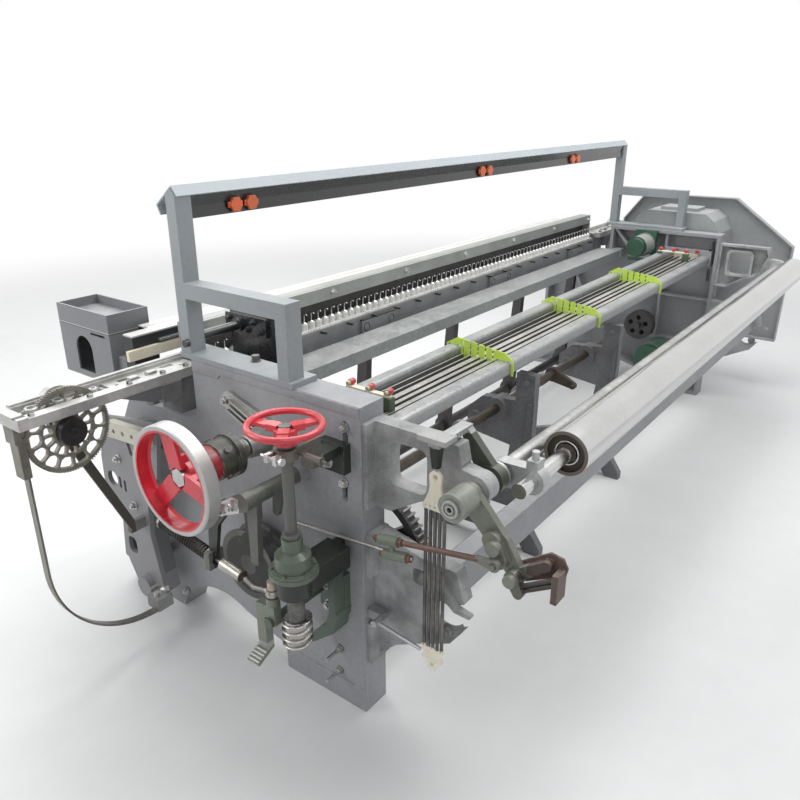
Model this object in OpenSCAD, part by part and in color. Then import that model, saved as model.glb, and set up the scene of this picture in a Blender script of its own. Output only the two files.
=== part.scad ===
/* [Side frames] */
// Clear width between the two side frames
frame_gap = 2960; // [2600:10:3400]
// Width of a side frame's cast rim, across the loom
frame_t = 90; // [76:1:110]
// Thickness of a side frame's flat outer web
web_t = 16; // [10:1:22]
// Thickness of the cast rim round a side frame
rim_t = 18; // [12:1:24]
// Height of the side frames
frame_h = 930; // [900:5:960]
// Length of the flat top of a side frame
top_len = 620; // [600:5:640]
// Height of the low front arm of a side frame
arm_h = 735; // [720:5:750]
// Distance from the rear edge to the front edge of the arm
arm_len = 1010; // [990:5:1040]
// Length of the rear foot
rear_foot = 308; // [280:2:330]
// Radius of the arch between the two feet
arch_r = 235; // [220:1:245]
// Distance from the rear edge to the middle of the arch
arch_y = 585; // [570:1:600]
// How far the front foot reaches past the arm
toe = 70; // [40:2:90]

/* [Portal over the sley] */
// Height of the sheet cap that joins the two portals
portal_h = 1400; // [1340:5:1460]
// Width of the portals' tube, across the loom
tube_w = 52; // [44:1:60]
// Depth of the portals' tube, towards the cloth
tube_d = 40; // [34:1:50]
// Wall of the tube
tube_wall = 4; // [3:0.5:6]
// Height of the top of the portal's level tube
shoulder_h = 1146; // [1110:2:1180]
// Thickness of the plate under the portal's feet
sole_t = 15; // [10:1:20]
// Depth of the black panel under the cap
panel_h = 62; // [50:1:75]

/* [Warp stop motion] */
// Height of the top of the rear carrying tube
stop_h = 812; // [790:2:830]
// Width of the two carrying tubes
stop_tube = 58; // [46:1:64]
// Number of contact bars
bar_count = 5; // [4:1:8]
// Number of comb separators
comb_count = 3; // [2:1:5]

/* [Back rest] */
// Radius of the back-rest roller
roller_r = 59; // [50:1:66]
// Length of the roller's barrel
roller_len = 2700; // [2500:10:2740]
// Radius of the roller's journals
journal_r = 19; // [15:0.5:22]
// Radius of the shaft that the back rest swings on
pivot_r = 21; // [17:0.5:25]
// Height of the swing shaft
pivot_z = 792; // [780:2:804]
// Distance of the swing shaft behind the side frames
pivot_back = 301; // [290:1:310]
// Distance of the roller behind the swing shaft
roller_back = 82; // [81:1:88]
// Length of the long lever that hangs from the swing shaft
lever_len = 200; // [196:1:206]
// Length of the tension springs
spring_len = 392; // [380:2:400]

/* [Let-off] */
// Distance of the upright shaft outside the side frame
letoff_out = 185; // [170:1:200]
// Radius of the upright shaft
letoff_r = 14; // [11:0.5:16]
// Radius of the red let-off wheel
letoff_wheel_r = 84; // [70:1:95]
// Outer radius of the worm
worm_r = 39; // [33:1:44]
// Number of the worm's turns
worm_turns = 4; // [3:1:5]
// Number of teeth on the warp beam gear
gear_teeth = 72; // [60:1:84]
// Module of the warp beam gear
gear_mod = 5.8; // [5:0.1:6.2]

/* [Main drive] */
// Radius of the large handwheel
wheel_r = 140; // [120:1:155]
// Width of the handwheel's rim
wheel_w = 40; // [30:1:50]
// Distance of the handwheel's rim outside the side frame
wheel_out = 292; // [285:1:300]
// Radius of the main shaft
shaft_r = 17; // [14:0.5:20]

/* [Sley] */
// Pitch of the wire hooks that guide the tape
hook_pitch = 36; // [32:1:50]
// Height of the race that carries the hooks
race_z = 865; // [855:1:872]
// Radius of the sley's rocking shaft
rock_r = 24; // [20:0.5:28]

/* [Rapier drive] */
// Radius of the rapier wheel over its teeth
rapier_r = 120; // [105:1:128]
// Thickness of the rapier wheel
rapier_t = 14; // [10:1:18]
// Number of large windows in the rapier wheel
window_count = 14; // [10:1:16]
// Radius of the bend in the hanging guide strip
strip_bend = 310; // [290:2:320]

/* [Hidden] */
$fn = 48;
run_fit = 0.05;
seat = 0.3;
side_x = frame_gap / 2;
outer_x = side_x + frame_t;
rear_reach = 542;
front_reach = 1310;
mid_y = (front_reach - rear_reach) / 2;

iron = [0.42, 0.43, 0.45];
dark = [0.16, 0.16, 0.17];
zinc = [0.66, 0.69, 0.69];
steel = [0.72, 0.72, 0.72];
green = [0.30, 0.38, 0.31];
red = [0.78, 0.10, 0.12];
cream = [0.83, 0.80, 0.68];
brown = [0.34, 0.29, 0.26];

// Places in one side's own axes: x = 0 on the frame's outer face and inwards, y = 0 on its rear edge
module near() translate([-outer_x, -mid_y, 0]) children();
module far() mirror([1, 0, 0]) near() children();
module across() translate([0, -mid_y, 0]) children();

// A profile drawn as [y, z], with its thickness towards +x
module yz(x, t) translate([x, 0, 0]) rotate([90, 0, 90]) linear_extrude(t) children();
// A profile drawn as [x, z], with its thickness towards +y
module xz(y, t) translate([0, y + t, 0]) rotate([90, 0, 0]) linear_extrude(t) children();
// A bar along x, y or z
module rod_x(at, r, len) translate(at) rotate([0, 90, 0]) cylinder(r = r, h = len);
module rod_y(at, r, len) translate(at) rotate([-90, 0, 0]) cylinder(r = r, h = len);
module rod_z(at, r, len) translate(at) cylinder(r = r, h = len);
module box(lo, hi) translate(lo) cube(hi - lo);

module slot2(len, w) {
    square([len - w, w], center = true);
    for (s = [-1, 1]) translate([s * (len - w) / 2, 0]) circle(d = w);
}
module rounded2(w, h, r) {
    square([w - 2 * r, h], center = true);
    square([w, h - 2 * r], center = true);
    for (i = [-1, 1], j = [-1, 1]) translate([i * (w / 2 - r), j * (h / 2 - r)]) circle(r = r);
}
// A bar with round ends between two points of a plane
module link2(a, b, ra, rb) {
    d = b - a;
    len = norm(d);
    turn = atan2(d[1], d[0]);
    // The bar is a little narrower than its ends, so that its corners lie inside them
    w = 0.95;
    translate(a) rotate(turn) polygon([[0, -ra * w], [len, -rb * w], [len, rb * w], [0, ra * w]]);
    translate(a) circle(r = ra);
    translate(b) circle(r = rb);
}
// A hexagon bolt head on its washer, pointing towards -x
module bolt_head(at, size = 11) translate(at) rotate([0, -90, 0]) {
    cylinder(r = size * 1.25, h = 3);
    translate([0, 0, 3]) cylinder(r = size, h = size * 0.9, $fn = 6);
    translate([0, 0, 3 + size * 0.9]) cylinder(r = size * 0.55, h = size * 0.5);
}

// Outline of a side frame, drawn t inside its edge
function side_outline(t) = [[t, t], [t, frame_h - t], [top_len - t, frame_h - t],
    [top_len - t, arm_h - t], [arm_len - 55 - t, arm_h - t], [arm_len - t, arm_h - 95],
    [arm_len - t, 420], [arm_len + toe - t, 70], [arm_len + toe - t, t]];
arch_z = -85;
foot_h = 80;
arch_lean = 15.9;
module arch2(t) {
    translate([arch_y, arch_z]) circle(r = arch_r + t, $fn = 96);
    polygon([[rear_foot - t, -1], [rear_foot - t, foot_h + t * 0.8],
        [arch_y - (arch_r + t) * sin(arch_lean) * 0.98, arch_z + (arch_r + t) * cos(arch_lean) * 0.98],
        [arch_y, arch_z]]);
}
module side2(t) difference() {
    polygon(side_outline(t));
    arch2(t);
}

// Places of what passes through or sits on a side frame, as [y, z]
main_at = [307, 777];
brake_at = [200, 703];
drum_at = [352, 395];
gear_at = [80, 462];
rock_at = [790, 128];
upper_slot = [48, 850];
lower_slot = [55, 695];
slot_len = 68;
slot_w = 18;
pivot_at = [-pivot_back, pivot_z];
roller_at = pivot_at + [-roller_back, 3];
gear_r = gear_teeth * gear_mod / 2;
gear_pin_r = 22;
gear_x = frame_t + 6;
gear_w = 34;
brake_r = 15;
drum_pin_r = 18;
boss_h = 30;

module side_frame(near_side) difference() {
    union() {
        yz(0, web_t) side2(0);
        yz(0, frame_t) difference() {
            side2(0);
            side2(rim_t);
        }
        // Inner ribs, cut to the frame's outline
        intersection() {
            yz(web_t, frame_t - web_t - 12) side2(rim_t / 2);
            union() {
                box([0, 285, 0], [frame_t, 299, frame_h]);
                box([0, 0, 560], [frame_t, top_len, 574]);
                box([0, 0, 300], [frame_t, arm_len, 314]);
                translate([0, 299, 574]) rotate([48, 0, 0]) cube([frame_t, 480, 14]);
                translate([0, 660, 300]) rotate([62, 0, 0]) cube([frame_t, 480, 14]);
            }
        }
        // Rail along the rear foot
        box([-4, 3, 70], [6, 255, 78]);
        // Pads for the stop motion and the cross channel
        box([web_t, 36, 756], [frame_t, 292, 840]);
        box([web_t, channel_y - 6, channel_z - 50], [frame_t, top_len, channel_z + 6]);
        // Bearing bosses
        rod_x([web_t, rock_at[0], rock_at[1]], rock_r + 12, frame_t - web_t);
        rod_x([web_t, drum_at[0], drum_at[1]], drum_pin_r + 14, frame_t - web_t);
        if (near_side) {
            rod_x([web_t, main_at[0], main_at[1]], shaft_r + 16, frame_t - web_t);
            rod_x([-boss_h, brake_at[0], brake_at[1]], brake_r + 11, boss_h + frame_t);
            rod_x([web_t, gear_at[0], gear_at[1]], gear_pin_r + 16, gear_x - seat - web_t);
            rod_x([gear_x - 2, gear_at[0], gear_at[1]], gear_pin_r, gear_w + 8);
        }
    }
    yz(-1, frame_t) {
        translate(upper_slot) rotate(90) slot2(slot_len, slot_w);
        translate(lower_slot) rotate(90) slot2(slot_len, slot_w);
    }
    rod_x([-1, drum_at[0], drum_at[1]], drum_pin_r + run_fit, frame_t + 2);
    if (near_side) {
        rod_x([-1, main_at[0], main_at[1]], shaft_r + run_fit, frame_t + 2);
        rod_x([-boss_h - 1, brake_at[0], brake_at[1]], brake_r + run_fit, boss_h + frame_t + 2);
    }
    rod_x([web_t, rock_at[0], rock_at[1]], rock_r + run_fit, frame_t);
}
module side_frame_near() color(iron) near() side_frame(true);
module side_frame_far() color(iron) far() side_frame(false);

// Cast bracket behind a side frame, with a rounded window, which carries the swing shaft
bracket_x = 40;
bracket_t = 14;
bracket_rim = 44;
window_at = [-112, 790];
module rear_bracket2(t) difference() {
    union() {
        polygon([[-t, 655 + t], [-t, 888 - t], [-252 + t, 888 - t], [-262 + t, 842],
            [-225 + t, 742 + t], [-150, 712 + t], [-60, 655 + t]]);
        if (t == 0) translate(pivot_at) circle(r = pivot_r + 15);
        if (t == 0) link2([-235, 800], pivot_at, 40, pivot_r + 15);
    }
    translate(window_at) rounded2(112 + 2 * t, 118 + 2 * t, 22);
}
module rear_bracket() difference() {
    union() {
        yz(bracket_x, bracket_t) rear_bracket2(0);
        yz(bracket_x, bracket_rim) difference() {
            rear_bracket2(0);
            rear_bracket2(12);
        }
        rod_x([bracket_x, pivot_at[0], pivot_at[1]], pivot_r + 15, bracket_rim);
        box([6, -14, 655], [bracket_x + bracket_rim, 0, 888]);
    }
    rod_x([0, pivot_at[0], pivot_at[1]], pivot_r + run_fit, 2 * frame_t);
}
module rear_bracket_near() color(iron) near() rear_bracket();
module rear_bracket_far() color(iron) far() rear_bracket();

// Bracket under it with the open seat for the warp beam's bearing
beam_br_x = 48;
beam_br_t = 40;
seat_at = [-215, 400];
seat_r = 46;
rear_beam_at = [-212, 492];
module beam_bracket() {
    yz(beam_br_x, beam_br_t) difference() {
        polygon([[0, 172], [0, 578], [-150, 548], [-252, 548], [-268, 500], [-288, 430],
            [-284, 392], [-240, 330], [-150, 284], [-70, 240]]);
        translate(seat_at) circle(r = seat_r);
        translate(seat_at + [-seat_r * 0.5, 0]) rotate(152) translate([0, -seat_r * 0.86])
            square([120, seat_r * 1.72]);
        translate([-150, 490]) rounded2(52, 44, 12);
    }
    // Foot against the rear edge of the side frame
    box([12, -16, 172], [beam_br_x + beam_br_t, 0, 300]);
    box([12, -16, 450], [beam_br_x + beam_br_t, 0, 578]);
    // Latch over the seat
    translate([beam_br_x - 16, 0, 0]) rotate([90, 0, 90]) linear_extrude(16) {
        link2([-196, 510], [-262, 452], 15, 9);
        link2([-262, 452], [-300, 448], 9, 6);
    }
    bolt_head([beam_br_x, -236, 372], 15);
}
module beam_bracket_near() color(iron) near() beam_bracket();
module beam_bracket_far() color(iron) far() beam_bracket();

// Casting outside the near frame that carries the rapier drive
front_x = -100;
front_t = 15;
module front_bracket() color(iron) near() {
    wheel_strut();
    difference() {
        union() {
            yz(front_x, front_t) polygon([[700, 745], [958, 700], [1006, 552], [1010, 415],
                [930, 335], [944, 205], [900, 118], [790, 92], [758, 130], [800, 330],
                [786, 470], [712, 560], [690, 690]]);
            // Rim down the leg
            yz(front_x, 60) {
                link2([786, 470], [800, 330], 9, 9);
                link2([800, 330], [762, 132], 9, 9);
                link2([930, 335], [944, 205], 9, 9);
            }
            rod_x([front_x - 24, 832, 132], 34, 84);
            box([front_x - 40, 738, 86], [front_x + front_t, 796, 128]);
        }
        yz(front_x - 1, front_t + 2) {
            translate([958, 482]) circle(r = 27);
            translate([918, 480]) rotate(90) slot2(42, 11);
            translate([893, 474]) rotate(90) slot2(42, 11);
            translate([842, 636]) rotate(75) slot2(80, 15);
        }
        yz(front_x - 41, 60) translate([900, 255]) rounded2(44, 60, 18);
    }
    // Spacers down to the frame's arm
    for (p = [[916, 652], [908, 568], [760, 640], [880, 400], [850, 210]])
        rod_x([front_x + front_t, p[0], p[1]], 17, -front_x - front_t);
    // Perforated stop block
    difference() {
        translate([front_x - 26, 705, 668]) rotate([-4, 0, 0]) cube([26, 190, 52]);
        for (i = [0:3]) translate([front_x - 27, 729 + 46 * i, 690 - 3.2 * i])
            rotate([0, 90, 0]) cylinder(r = 7, h = 22);
    }
    for (s = [0, 1]) translate([front_x - 24 + 26 * s, 767, 128]) cylinder(r = 9, h = 12);
}

// Portal of rectangular tube on its sole plate
rear_post_y = 246;
front_post_y = 631;
portal_x = 22;
ridge_y = front_post_y - 3;
cap_out = [[ridge_y - 21, portal_h - 26], [ridge_y, portal_h], [ridge_y + 70, portal_h - 53],
    [ridge_y + 57, portal_h - 80]];
// The same line on the inner face of the sheet
cap_in = [[ridge_y - 17.9, portal_h - 28.5], [ridge_y + 0.7, portal_h - 5.5],
    [ridge_y + 65, portal_h - 54.2], [ridge_y + 53.4, portal_h - 78.3]];
function cap_under(y) = lookup(y, [cap_in[0], cap_in[1], cap_in[2]]);
module portal() {
    half = tube_w / 2;
    deep = tube_d / 2;
    post_top = portal_h - 60;
    box([portal_x - half - 5, rear_post_y - deep - 14, frame_h],
        [portal_x + half + 34, front_post_y + deep + 4, frame_h + sole_t]);
    for (p = [[rear_post_y, shoulder_h], [front_post_y, post_top]])
        difference() {
            box([portal_x - half, p[0] - deep, frame_h + sole_t],
                [portal_x + half, p[0] + deep, p[1]]);
            box([portal_x - half + tube_wall, p[0] - deep + tube_wall, frame_h + sole_t + 4],
                [portal_x + half - tube_wall, p[0] + deep - tube_wall, p[1] - tube_wall]);
        }
    box([portal_x - half, rear_post_y + deep, shoulder_h - tube_d - 4],
        [portal_x + half, front_post_y - deep, shoulder_h]);
    // Tall post's end, cut to the slopes of the cap
    y0 = front_post_y - deep;
    y1 = front_post_y + deep;
    yz(portal_x - half, tube_w) polygon([[y0, post_top - 2], [y0, cap_under(y0)], cap_in[1],
        [y1, cap_under(y1)], [y1, post_top - 2]]);
}
module portal_near() color(iron) near() portal();
module portal_far() color(iron) far() portal();

// Folded sheet that joins the portals, with a black lamp panel under it
module portal_cap() color(zinc) across() translate([-outer_x, 0, 0]) rotate([90, 0, 90])
    linear_extrude(2 * outer_x) polygon([cap_out[0], cap_out[1], cap_out[2], cap_out[3],
        cap_in[3], cap_in[2], cap_in[1], cap_in[0]]);
module lamp_panel() color(dark) across() {
    inner = outer_x - portal_x - tube_w / 2;
    y0 = ridge_y - 14;
    top = portal_h - 27;
    translate([-inner, 0, 0]) rotate([90, 0, 90]) linear_extrude(2 * inner)
        polygon([[y0, top], [y0 + 6, top - panel_h * 0.5], [y0 + 2, top - panel_h],
            [y0 + 6, top - panel_h], [y0 + 10, top - panel_h * 0.5], [y0 + 4, top]]);
    for (x = [230, 1568, 2446], s = [-30, 30])
        translate([x - outer_x + s, y0 + 5, top - panel_h * 0.62]) {
            rotate([90, 0, 0]) cylinder(r = 22, h = 14, $fn = 6);
            translate([-26, -9, -8]) cube([52, 5, 16]);
        }
}

// Box beam between the two warp beam brackets
module rear_beam() color(iron) across() {
    len = 2 * (outer_x - beam_br_x - beam_br_t);
    difference() {
        translate([-len / 2, rear_beam_at[0] - 26, rear_beam_at[1] - 50]) cube([len, 52, 100]);
        translate([-len / 2 + 8, rear_beam_at[0] - 20, rear_beam_at[1] - 44])
            cube([len - 16, 40, 88]);
    }
    // Low tie between the feet of the side frames, under the shaft stands
    difference() {
        translate([-side_x, 120, 0]) cube([frame_gap, 100, stand_arch]);
        translate([-side_x - 1, 126, 6]) cube([frame_gap + 2, 88, stand_arch - 12]);
    }
}

// Wide channel between the frames, behind the sley
channel_y = 552;
channel_d = 128;
channel_z = 792;
module cross_channel() color(zinc) across() difference() {
    translate([-side_x, channel_y, channel_z - 46]) cube([frame_gap, channel_d, 46]);
    translate([-side_x - 1, channel_y + 4, channel_z - 47]) cube([frame_gap + 2, channel_d - 8, 43]);
}

// Breast beam in front of the sley, on legs that stand on the front arms
breast_y = arm_len - 110;
breast_z = 940;
breast_d = 96;
breast_h = 70;
module breast_beam() color(zinc) across() {
    difference() {
        translate([-side_x, breast_y, breast_z - breast_h]) cube([frame_gap, breast_d, breast_h]);
        translate([-side_x - 1, breast_y + 5, breast_z - breast_h - 1])
            cube([frame_gap + 2, breast_d - 10, breast_h - 4]);
        translate([-side_x - 1, breast_y + 62, breast_z - 2]) cube([frame_gap + 2, 3, 3]);
    }
    for (s = [-1, 1]) translate([s * (side_x + frame_t / 2) - frame_t / 2, breast_y, arm_h])
        cube([frame_t, 46, breast_z - arm_h]);
    // Slotted rail on the rear face, and the pale bar at its near end
    translate([-side_x, breast_y - 12, breast_z - 34]) cube([frame_gap, 12, 8]);
    translate([-outer_x - 26, breast_y - 14, breast_z - 72]) cube([210, 14, 32]);
}

// Cast stand on the floor that carries the rocker shaft
stand_w = 34;
stand_arch = 46;
rocker_at = [172, 566];
cam_at = [262, 500];
rocker_r = 17;
cam_r = 14;
module stand() {
    difference() {
        union() {
            yz(-stand_w / 2, stand_w) polygon([[30, 716], [104, 716], [104, 610], [240, 596],
                [300, 540], [300, 452], [116, 430], [130, 300], [236, 200], [470, 120],
                [470, 0], [360, 0], [330, stand_arch], [60, stand_arch], [30, 0], [-34, 0], [-34, 30],
                [8, 90], [30, 240]]);
            rod_x([-34, rocker_at[0], rocker_at[1]], rocker_r + 24, 68);
            rod_x([-28, cam_at[0], cam_at[1]], cam_r + 18, 56);
            yz(-stand_w / 2 - 8, stand_w + 16) {
                link2([44, 600], [44, 240], 9, 9);
                link2([44, 240], [26, 100], 9, 9);
            }
        }
        yz(-stand_w / 2 - 1, stand_w + 2) {
            translate([130, 130]) rounded2(150, 90, 26);
            translate([84, 350]) rounded2(34, 120, 12);
        }
        rod_x([-60, rocker_at[0], rocker_at[1]], rocker_r + run_fit, 120);
        rod_x([-60, cam_at[0], cam_at[1]], cam_r + run_fit, 120);
    }
    bolt_head([-stand_w / 2, 67, 684], 11);
}
stand_x = [1000, 1780];
module shaft_stands() color(iron) near() for (x = stand_x) translate([x, 0, 0]) stand();

// Rocker shaft and cam shaft side by side in the stands, one in each direction of turn
shaft_from = frame_t + 170;
shaft_to = 2120;
module collar_x(x, at, r) rod_x([x, at[0], at[1]], r, 26);
module rocker_shaft() color(brown) near() {
    rod_x([shaft_from, rocker_at[0], rocker_at[1]], rocker_r, shaft_to - shaft_from);
    difference() {
        for (x = [620, 1420]) yz(x, 18) link2(rocker_at, rocker_at + [-92, -30], 30, 14);
        for (x = [620, 1420]) yz(x - 1, 20) translate(rocker_at + [-92, -30]) circle(r = 6);
    }
}
module cam_shaft() color(steel) near() {
    rod_x([shaft_from, cam_at[0], cam_at[1]], cam_r, shaft_to - shaft_from);
    for (x = [700, 860, 1300, 1500]) collar_x(x, cam_at, cam_r + 14);
}

// Warp stop motion: two carrying tubes, contact bars, their ends and the comb separators
rear_tube_y = 70;
front_tube_y = 262;
front_tube_up = 22;
module carrying_tube(y, top, w) difference() {
    translate([-side_x, y, top - w * 0.42]) rotate([90, 0, 90]) linear_extrude(frame_gap)
        rounded2(w, w * 0.84, 16);
    translate([-side_x - 1, y, top - w * 0.42]) rotate([90, 0, 90]) linear_extrude(frame_gap + 2)
        rounded2(w - 6, w * 0.84 - 6, 13);
}
module stop_tubes() color(zinc) across() {
    carrying_tube(rear_tube_y, stop_h, stop_tube);
    carrying_tube(front_tube_y, stop_h + front_tube_up, stop_tube - 8);
}
bar_from = rear_tube_y + stop_tube / 2 + 12;
bar_to = front_tube_y - stop_tube / 2 - 6;
bar_in = 36;
bar_z = stop_h - 22;
function bar_w(i) = [16, 14, 20, 5, 5][i % 5];
function bar_y(i) = bar_from + (bar_to - bar_from) * i / (bar_count - 1);
module contact_bars() color(steel) across()
    for (i = [0:bar_count - 1])
        translate([-side_x + bar_in, bar_y(i) - bar_w(i) / 2, bar_z])
            cube([frame_gap - 2 * bar_in, bar_w(i), 16]);
module bar_ends() color(cream) for (s = [0, 1]) mirror([s, 0, 0]) near() {
    // Cross strip that the bars lie on, fixed to the pad inside the frame
    box([frame_t, bar_from - 10, bar_z - 16], [frame_t + bar_in + 14, bar_to + 9, bar_z]);
    box([frame_t, bar_from - 10, bar_z], [frame_t + 16, bar_to + 9, bar_z + 28]);
    for (y = [bar_from, (bar_from + bar_to) / 2, bar_to - 2])
        translate([frame_t + 10, y, bar_z + 28]) {
            cylinder(r = 5, h = 8);
            translate([0, 0, 8]) cylinder(r = 9, h = 14);
        }
}
comb_pitch = 712;
comb_mid = -40;
comb_t = 3;
comb_gap = 0.3;
comb_low = bar_z - 26;
module comb_cut(y, top, w) translate([y - w / 2 - comb_gap, comb_low - 1])
    square([w + 2 * comb_gap, top - comb_low + 1]);
module comb_separator() {
    rear_edge = rear_tube_y - stop_tube / 2 - 9;
    front_edge = front_tube_y + stop_tube / 2 + 3;
    top = stop_h + 26;
    yz(-comb_t / 2, comb_t) difference() {
        polygon([[rear_edge, comb_low], [rear_edge, stop_h], [rear_tube_y - 8, top],
            [front_tube_y - 12, top + front_tube_up], [front_edge, stop_h + front_tube_up],
            [front_edge, comb_low + 26], [bar_to + 6, comb_low], [bar_from - 12, comb_low]]);
        comb_cut(rear_tube_y, stop_h, stop_tube);
        comb_cut(front_tube_y, stop_h + front_tube_up, stop_tube - 8);
        for (i = [0:bar_count - 1]) {
            translate([bar_y(i) - bar_w(i) / 2 - comb_gap, bar_z - comb_gap])
                square([bar_w(i) + 2 * comb_gap, 16 + 2 * comb_gap]);
            translate([bar_y(i) - 3, bar_z]) square([6, 80]);
        }
    }
}
module comb_separators() color([0.75, 0.93, 0.20]) across()
    for (i = [0:comb_count - 1])
        translate([comb_mid + comb_pitch * (i - (comb_count - 1) / 2), 0, 0]) comb_separator();

// Rapier rail: two beams with the wheel between them, on a block that stands on the frame's arm
rapier_x = -320;
rapier_z = 787;
rapier_y = 748;
rail_end = -474;
rail_low = 850;
rail_top = 888;
front_top = 878;
axle_r = 12;
wheel_gap = 2;
lug_y = rapier_y + rapier_t + 16;
module rapier_rail() {
    difference() {
        union() {
            // Front bar, rear bar with its raised lip, and the piece that joins their ends
            box([rail_end, 688, rail_low], [88, 721, front_top]);
            box([rail_end, 780, rail_low + 6], [88, 812, rail_top - 6]);
            box([rail_end + 30, 786, rail_top - 7], [88, 800, rail_top]);
            box([rail_end, 688, rail_low], [rail_end + 28, 812, front_top + 4]);
            xz(lug_y, 22) link2([rapier_x, rail_low + 10], [rapier_x, rapier_z], 46, 32);
            // Cover between the bars and the deeper web towards the frame
            box([-192, 700, front_top - 16], [88, 800, front_top - 6]);
            xz(694, 14) polygon([[-200, rail_low + 2], [-92, 806], [9, 800], [9, rail_low + 2]]);
        }
        // Channel under the front bar, and pockets and holes on top
        box([rail_end + 40, 696, rail_low - 1], [-210, 714, front_top - 8]);
        for (x = [-168, -96, -24, 48]) rod_z([x, 738, front_top - 20], 6, 30);
        for (x = [-132, 12]) box([x - 20, 752, front_top - 20], [x + 20, 770, front_top]);
    }
    rod_y([rapier_x, rapier_y - 14, rapier_z], axle_r, lug_y - rapier_y + 15);
    // Bolts and stops on the front bar
    for (x = [-430, -270, -150, -40, 40]) rod_z([x, 705, front_top - 1], 8, 8);
    for (x = [-120, -60]) box([x - 14, 724, front_top - 8], [x + 14, 744, front_top + 6]);
    box([10, 704, arm_h], [80, 798, front_top - 10]);
    // Slide block at the end of the frame's top
    box([-58, 690, 792], [9, 716, rail_low + 2]);
    rod_x([-62, 756, 796], 25, 58);
    box([-40, 726, 812], [9, 788, front_top - 10]);
}
module rapier_rail_near() color(zinc) near() rapier_rail();
module rapier_rail_far() color(zinc) far() rapier_rail();

// Narrow strip that guides the tape down and round
strip_t = 6;
strip_w = 24;
strip_x = -449;
strip_turn_z = 400;
clamp_x = front_x - 40;
socket_low = 700;
module guide_strip() {
    y0 = rapier_y + rapier_t / 2 - strip_w / 2;
    difference() {
        union() {
            box([strip_x - 16, y0 - 8, socket_low], [strip_x + 6, y0 + strip_w + 8, rail_low]);
            box([strip_x - 22, y0 - 12, 800], [strip_x + 6, y0 + strip_w + 12, rail_low]);
        }
        for (z = [730, 770, 818]) rod_y([strip_x, y0 - 20, z], 5, 14);
    }
    xz(y0, strip_w) {
        translate([strip_x - strip_t / 2, strip_turn_z]) square([strip_t, socket_low - strip_turn_z]);
        translate([strip_x + strip_bend, strip_turn_z]) intersection() {
            difference() {
                circle(r = strip_bend + strip_t / 2, $fn = 96);
                circle(r = strip_bend - strip_t / 2, $fn = 96);
            }
            translate([-2 * strip_bend, -2 * strip_bend])
                square([2 * strip_bend + clamp_x - strip_x - strip_bend, 2 * strip_bend]);
        }
    }
}
module guide_strip_near() color(steel) near() guide_strip();
module guide_strip_far() color(steel) far() guide_strip();

// Rapier wheel: toothed rim, a lattice of thin ribs in two rings, and a black cap
hub_r = 38;
rib_w = 5.5;
ring_r = 73;
// A window between two ribs, n of them round the wheel, with its corners cut
module window(r1, r2, n, cut) {
    a = 180 / n;
    w1 = r1 * tan(a) - rib_w / 2;
    w2 = r2 * tan(a) - rib_w / 2;
    polygon([[r1 + cut, -w1 - (w2 - w1) * cut / (r2 - r1)], [r2 - cut, -w2 + (w2 - w1) * cut / (r2 - r1)],
        [r2, -w2 + cut], [r2, w2 - cut], [r2 - cut, w2 - (w2 - w1) * cut / (r2 - r1)],
        [r1 + cut, w1 + (w2 - w1) * cut / (r2 - r1)], [r1, w1 - cut], [r1, -w1 + cut]]);
}
module rapier_wheel() {
    teeth = 96;
    difference() {
        union() {
            xz(rapier_y, rapier_t) translate([rapier_x, rapier_z]) circle(r = rapier_r - 4, $fn = 96);
            xz(rapier_y, rapier_t) translate([rapier_x, rapier_z]) for (i = [0:teeth - 1])
                rotate(360 * i / teeth) translate([rapier_r - 5, -2]) square([5, 4]);
            rod_y([rapier_x, rapier_y - 26, rapier_z], hub_r, 26);
            rod_y([rapier_x, rapier_y + rapier_t, rapier_z], hub_r - 12, 16 - wheel_gap);
        }
        xz(rapier_y - 1, rapier_t + 2) translate([rapier_x, rapier_z])
            for (i = [0:window_count - 1]) {
                rotate(360 * i / window_count) window(ring_r + rib_w / 2, rapier_r - 13, window_count, 7);
                rotate(360 * (i + 0.5) / window_count)
                    window(hub_r + 6, ring_r - rib_w / 2, window_count, 5);
            }
        rod_y([rapier_x, rapier_y - 14 - wheel_gap, rapier_z], axle_r + run_fit, 80);
    }
    // Bolt in the middle of the cap
    difference() {
        rod_y([rapier_x, rapier_y - 34, rapier_z], 15, 10);
        rod_y([rapier_x, rapier_y - 35, rapier_z], 6, 6);
    }
}
module rapier_wheel_near() color(steel) near() rapier_wheel();
module rapier_wheel_far() color(steel) far() rapier_wheel();

// Strut from the rail's lug down to the front bracket
module wheel_strut() {
    y0 = lug_y + 22;
    xz(y0, 9) link2([rapier_x, rapier_z], [-142, 376], 15, 13);
    box([front_x - 52, y0 + 9, 358], [front_x, y0 + 26, 394]);
    translate([rapier_x, y0 + 9, rapier_z]) rotate([-90, 0, 0]) cylinder(r = 11, h = 9, $fn = 6);
}

// Ribbed bracket with the main shaft's outer bearing
module shaft_bearing() color(zinc) near() difference() {
    union() {
        yz(-14, 14) link2([455, frame_h - 88], main_at, 28, 48);
        translate([-98, main_at[0], main_at[1]]) rotate([0, 90, 0]) cylinder(r1 = 31, r2 = 44, h = 98);
        for (w = [-17, 0, 17]) yz(-30, 30) translate([main_at[0] + w * 0.4, main_at[1] - w * 0.9])
            rotate(atan2(65, 148)) translate([0, -3]) square([150, 6]);
    }
    rod_x([-99, main_at[0], main_at[1]], shaft_r + run_fit, 100);
}

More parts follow.
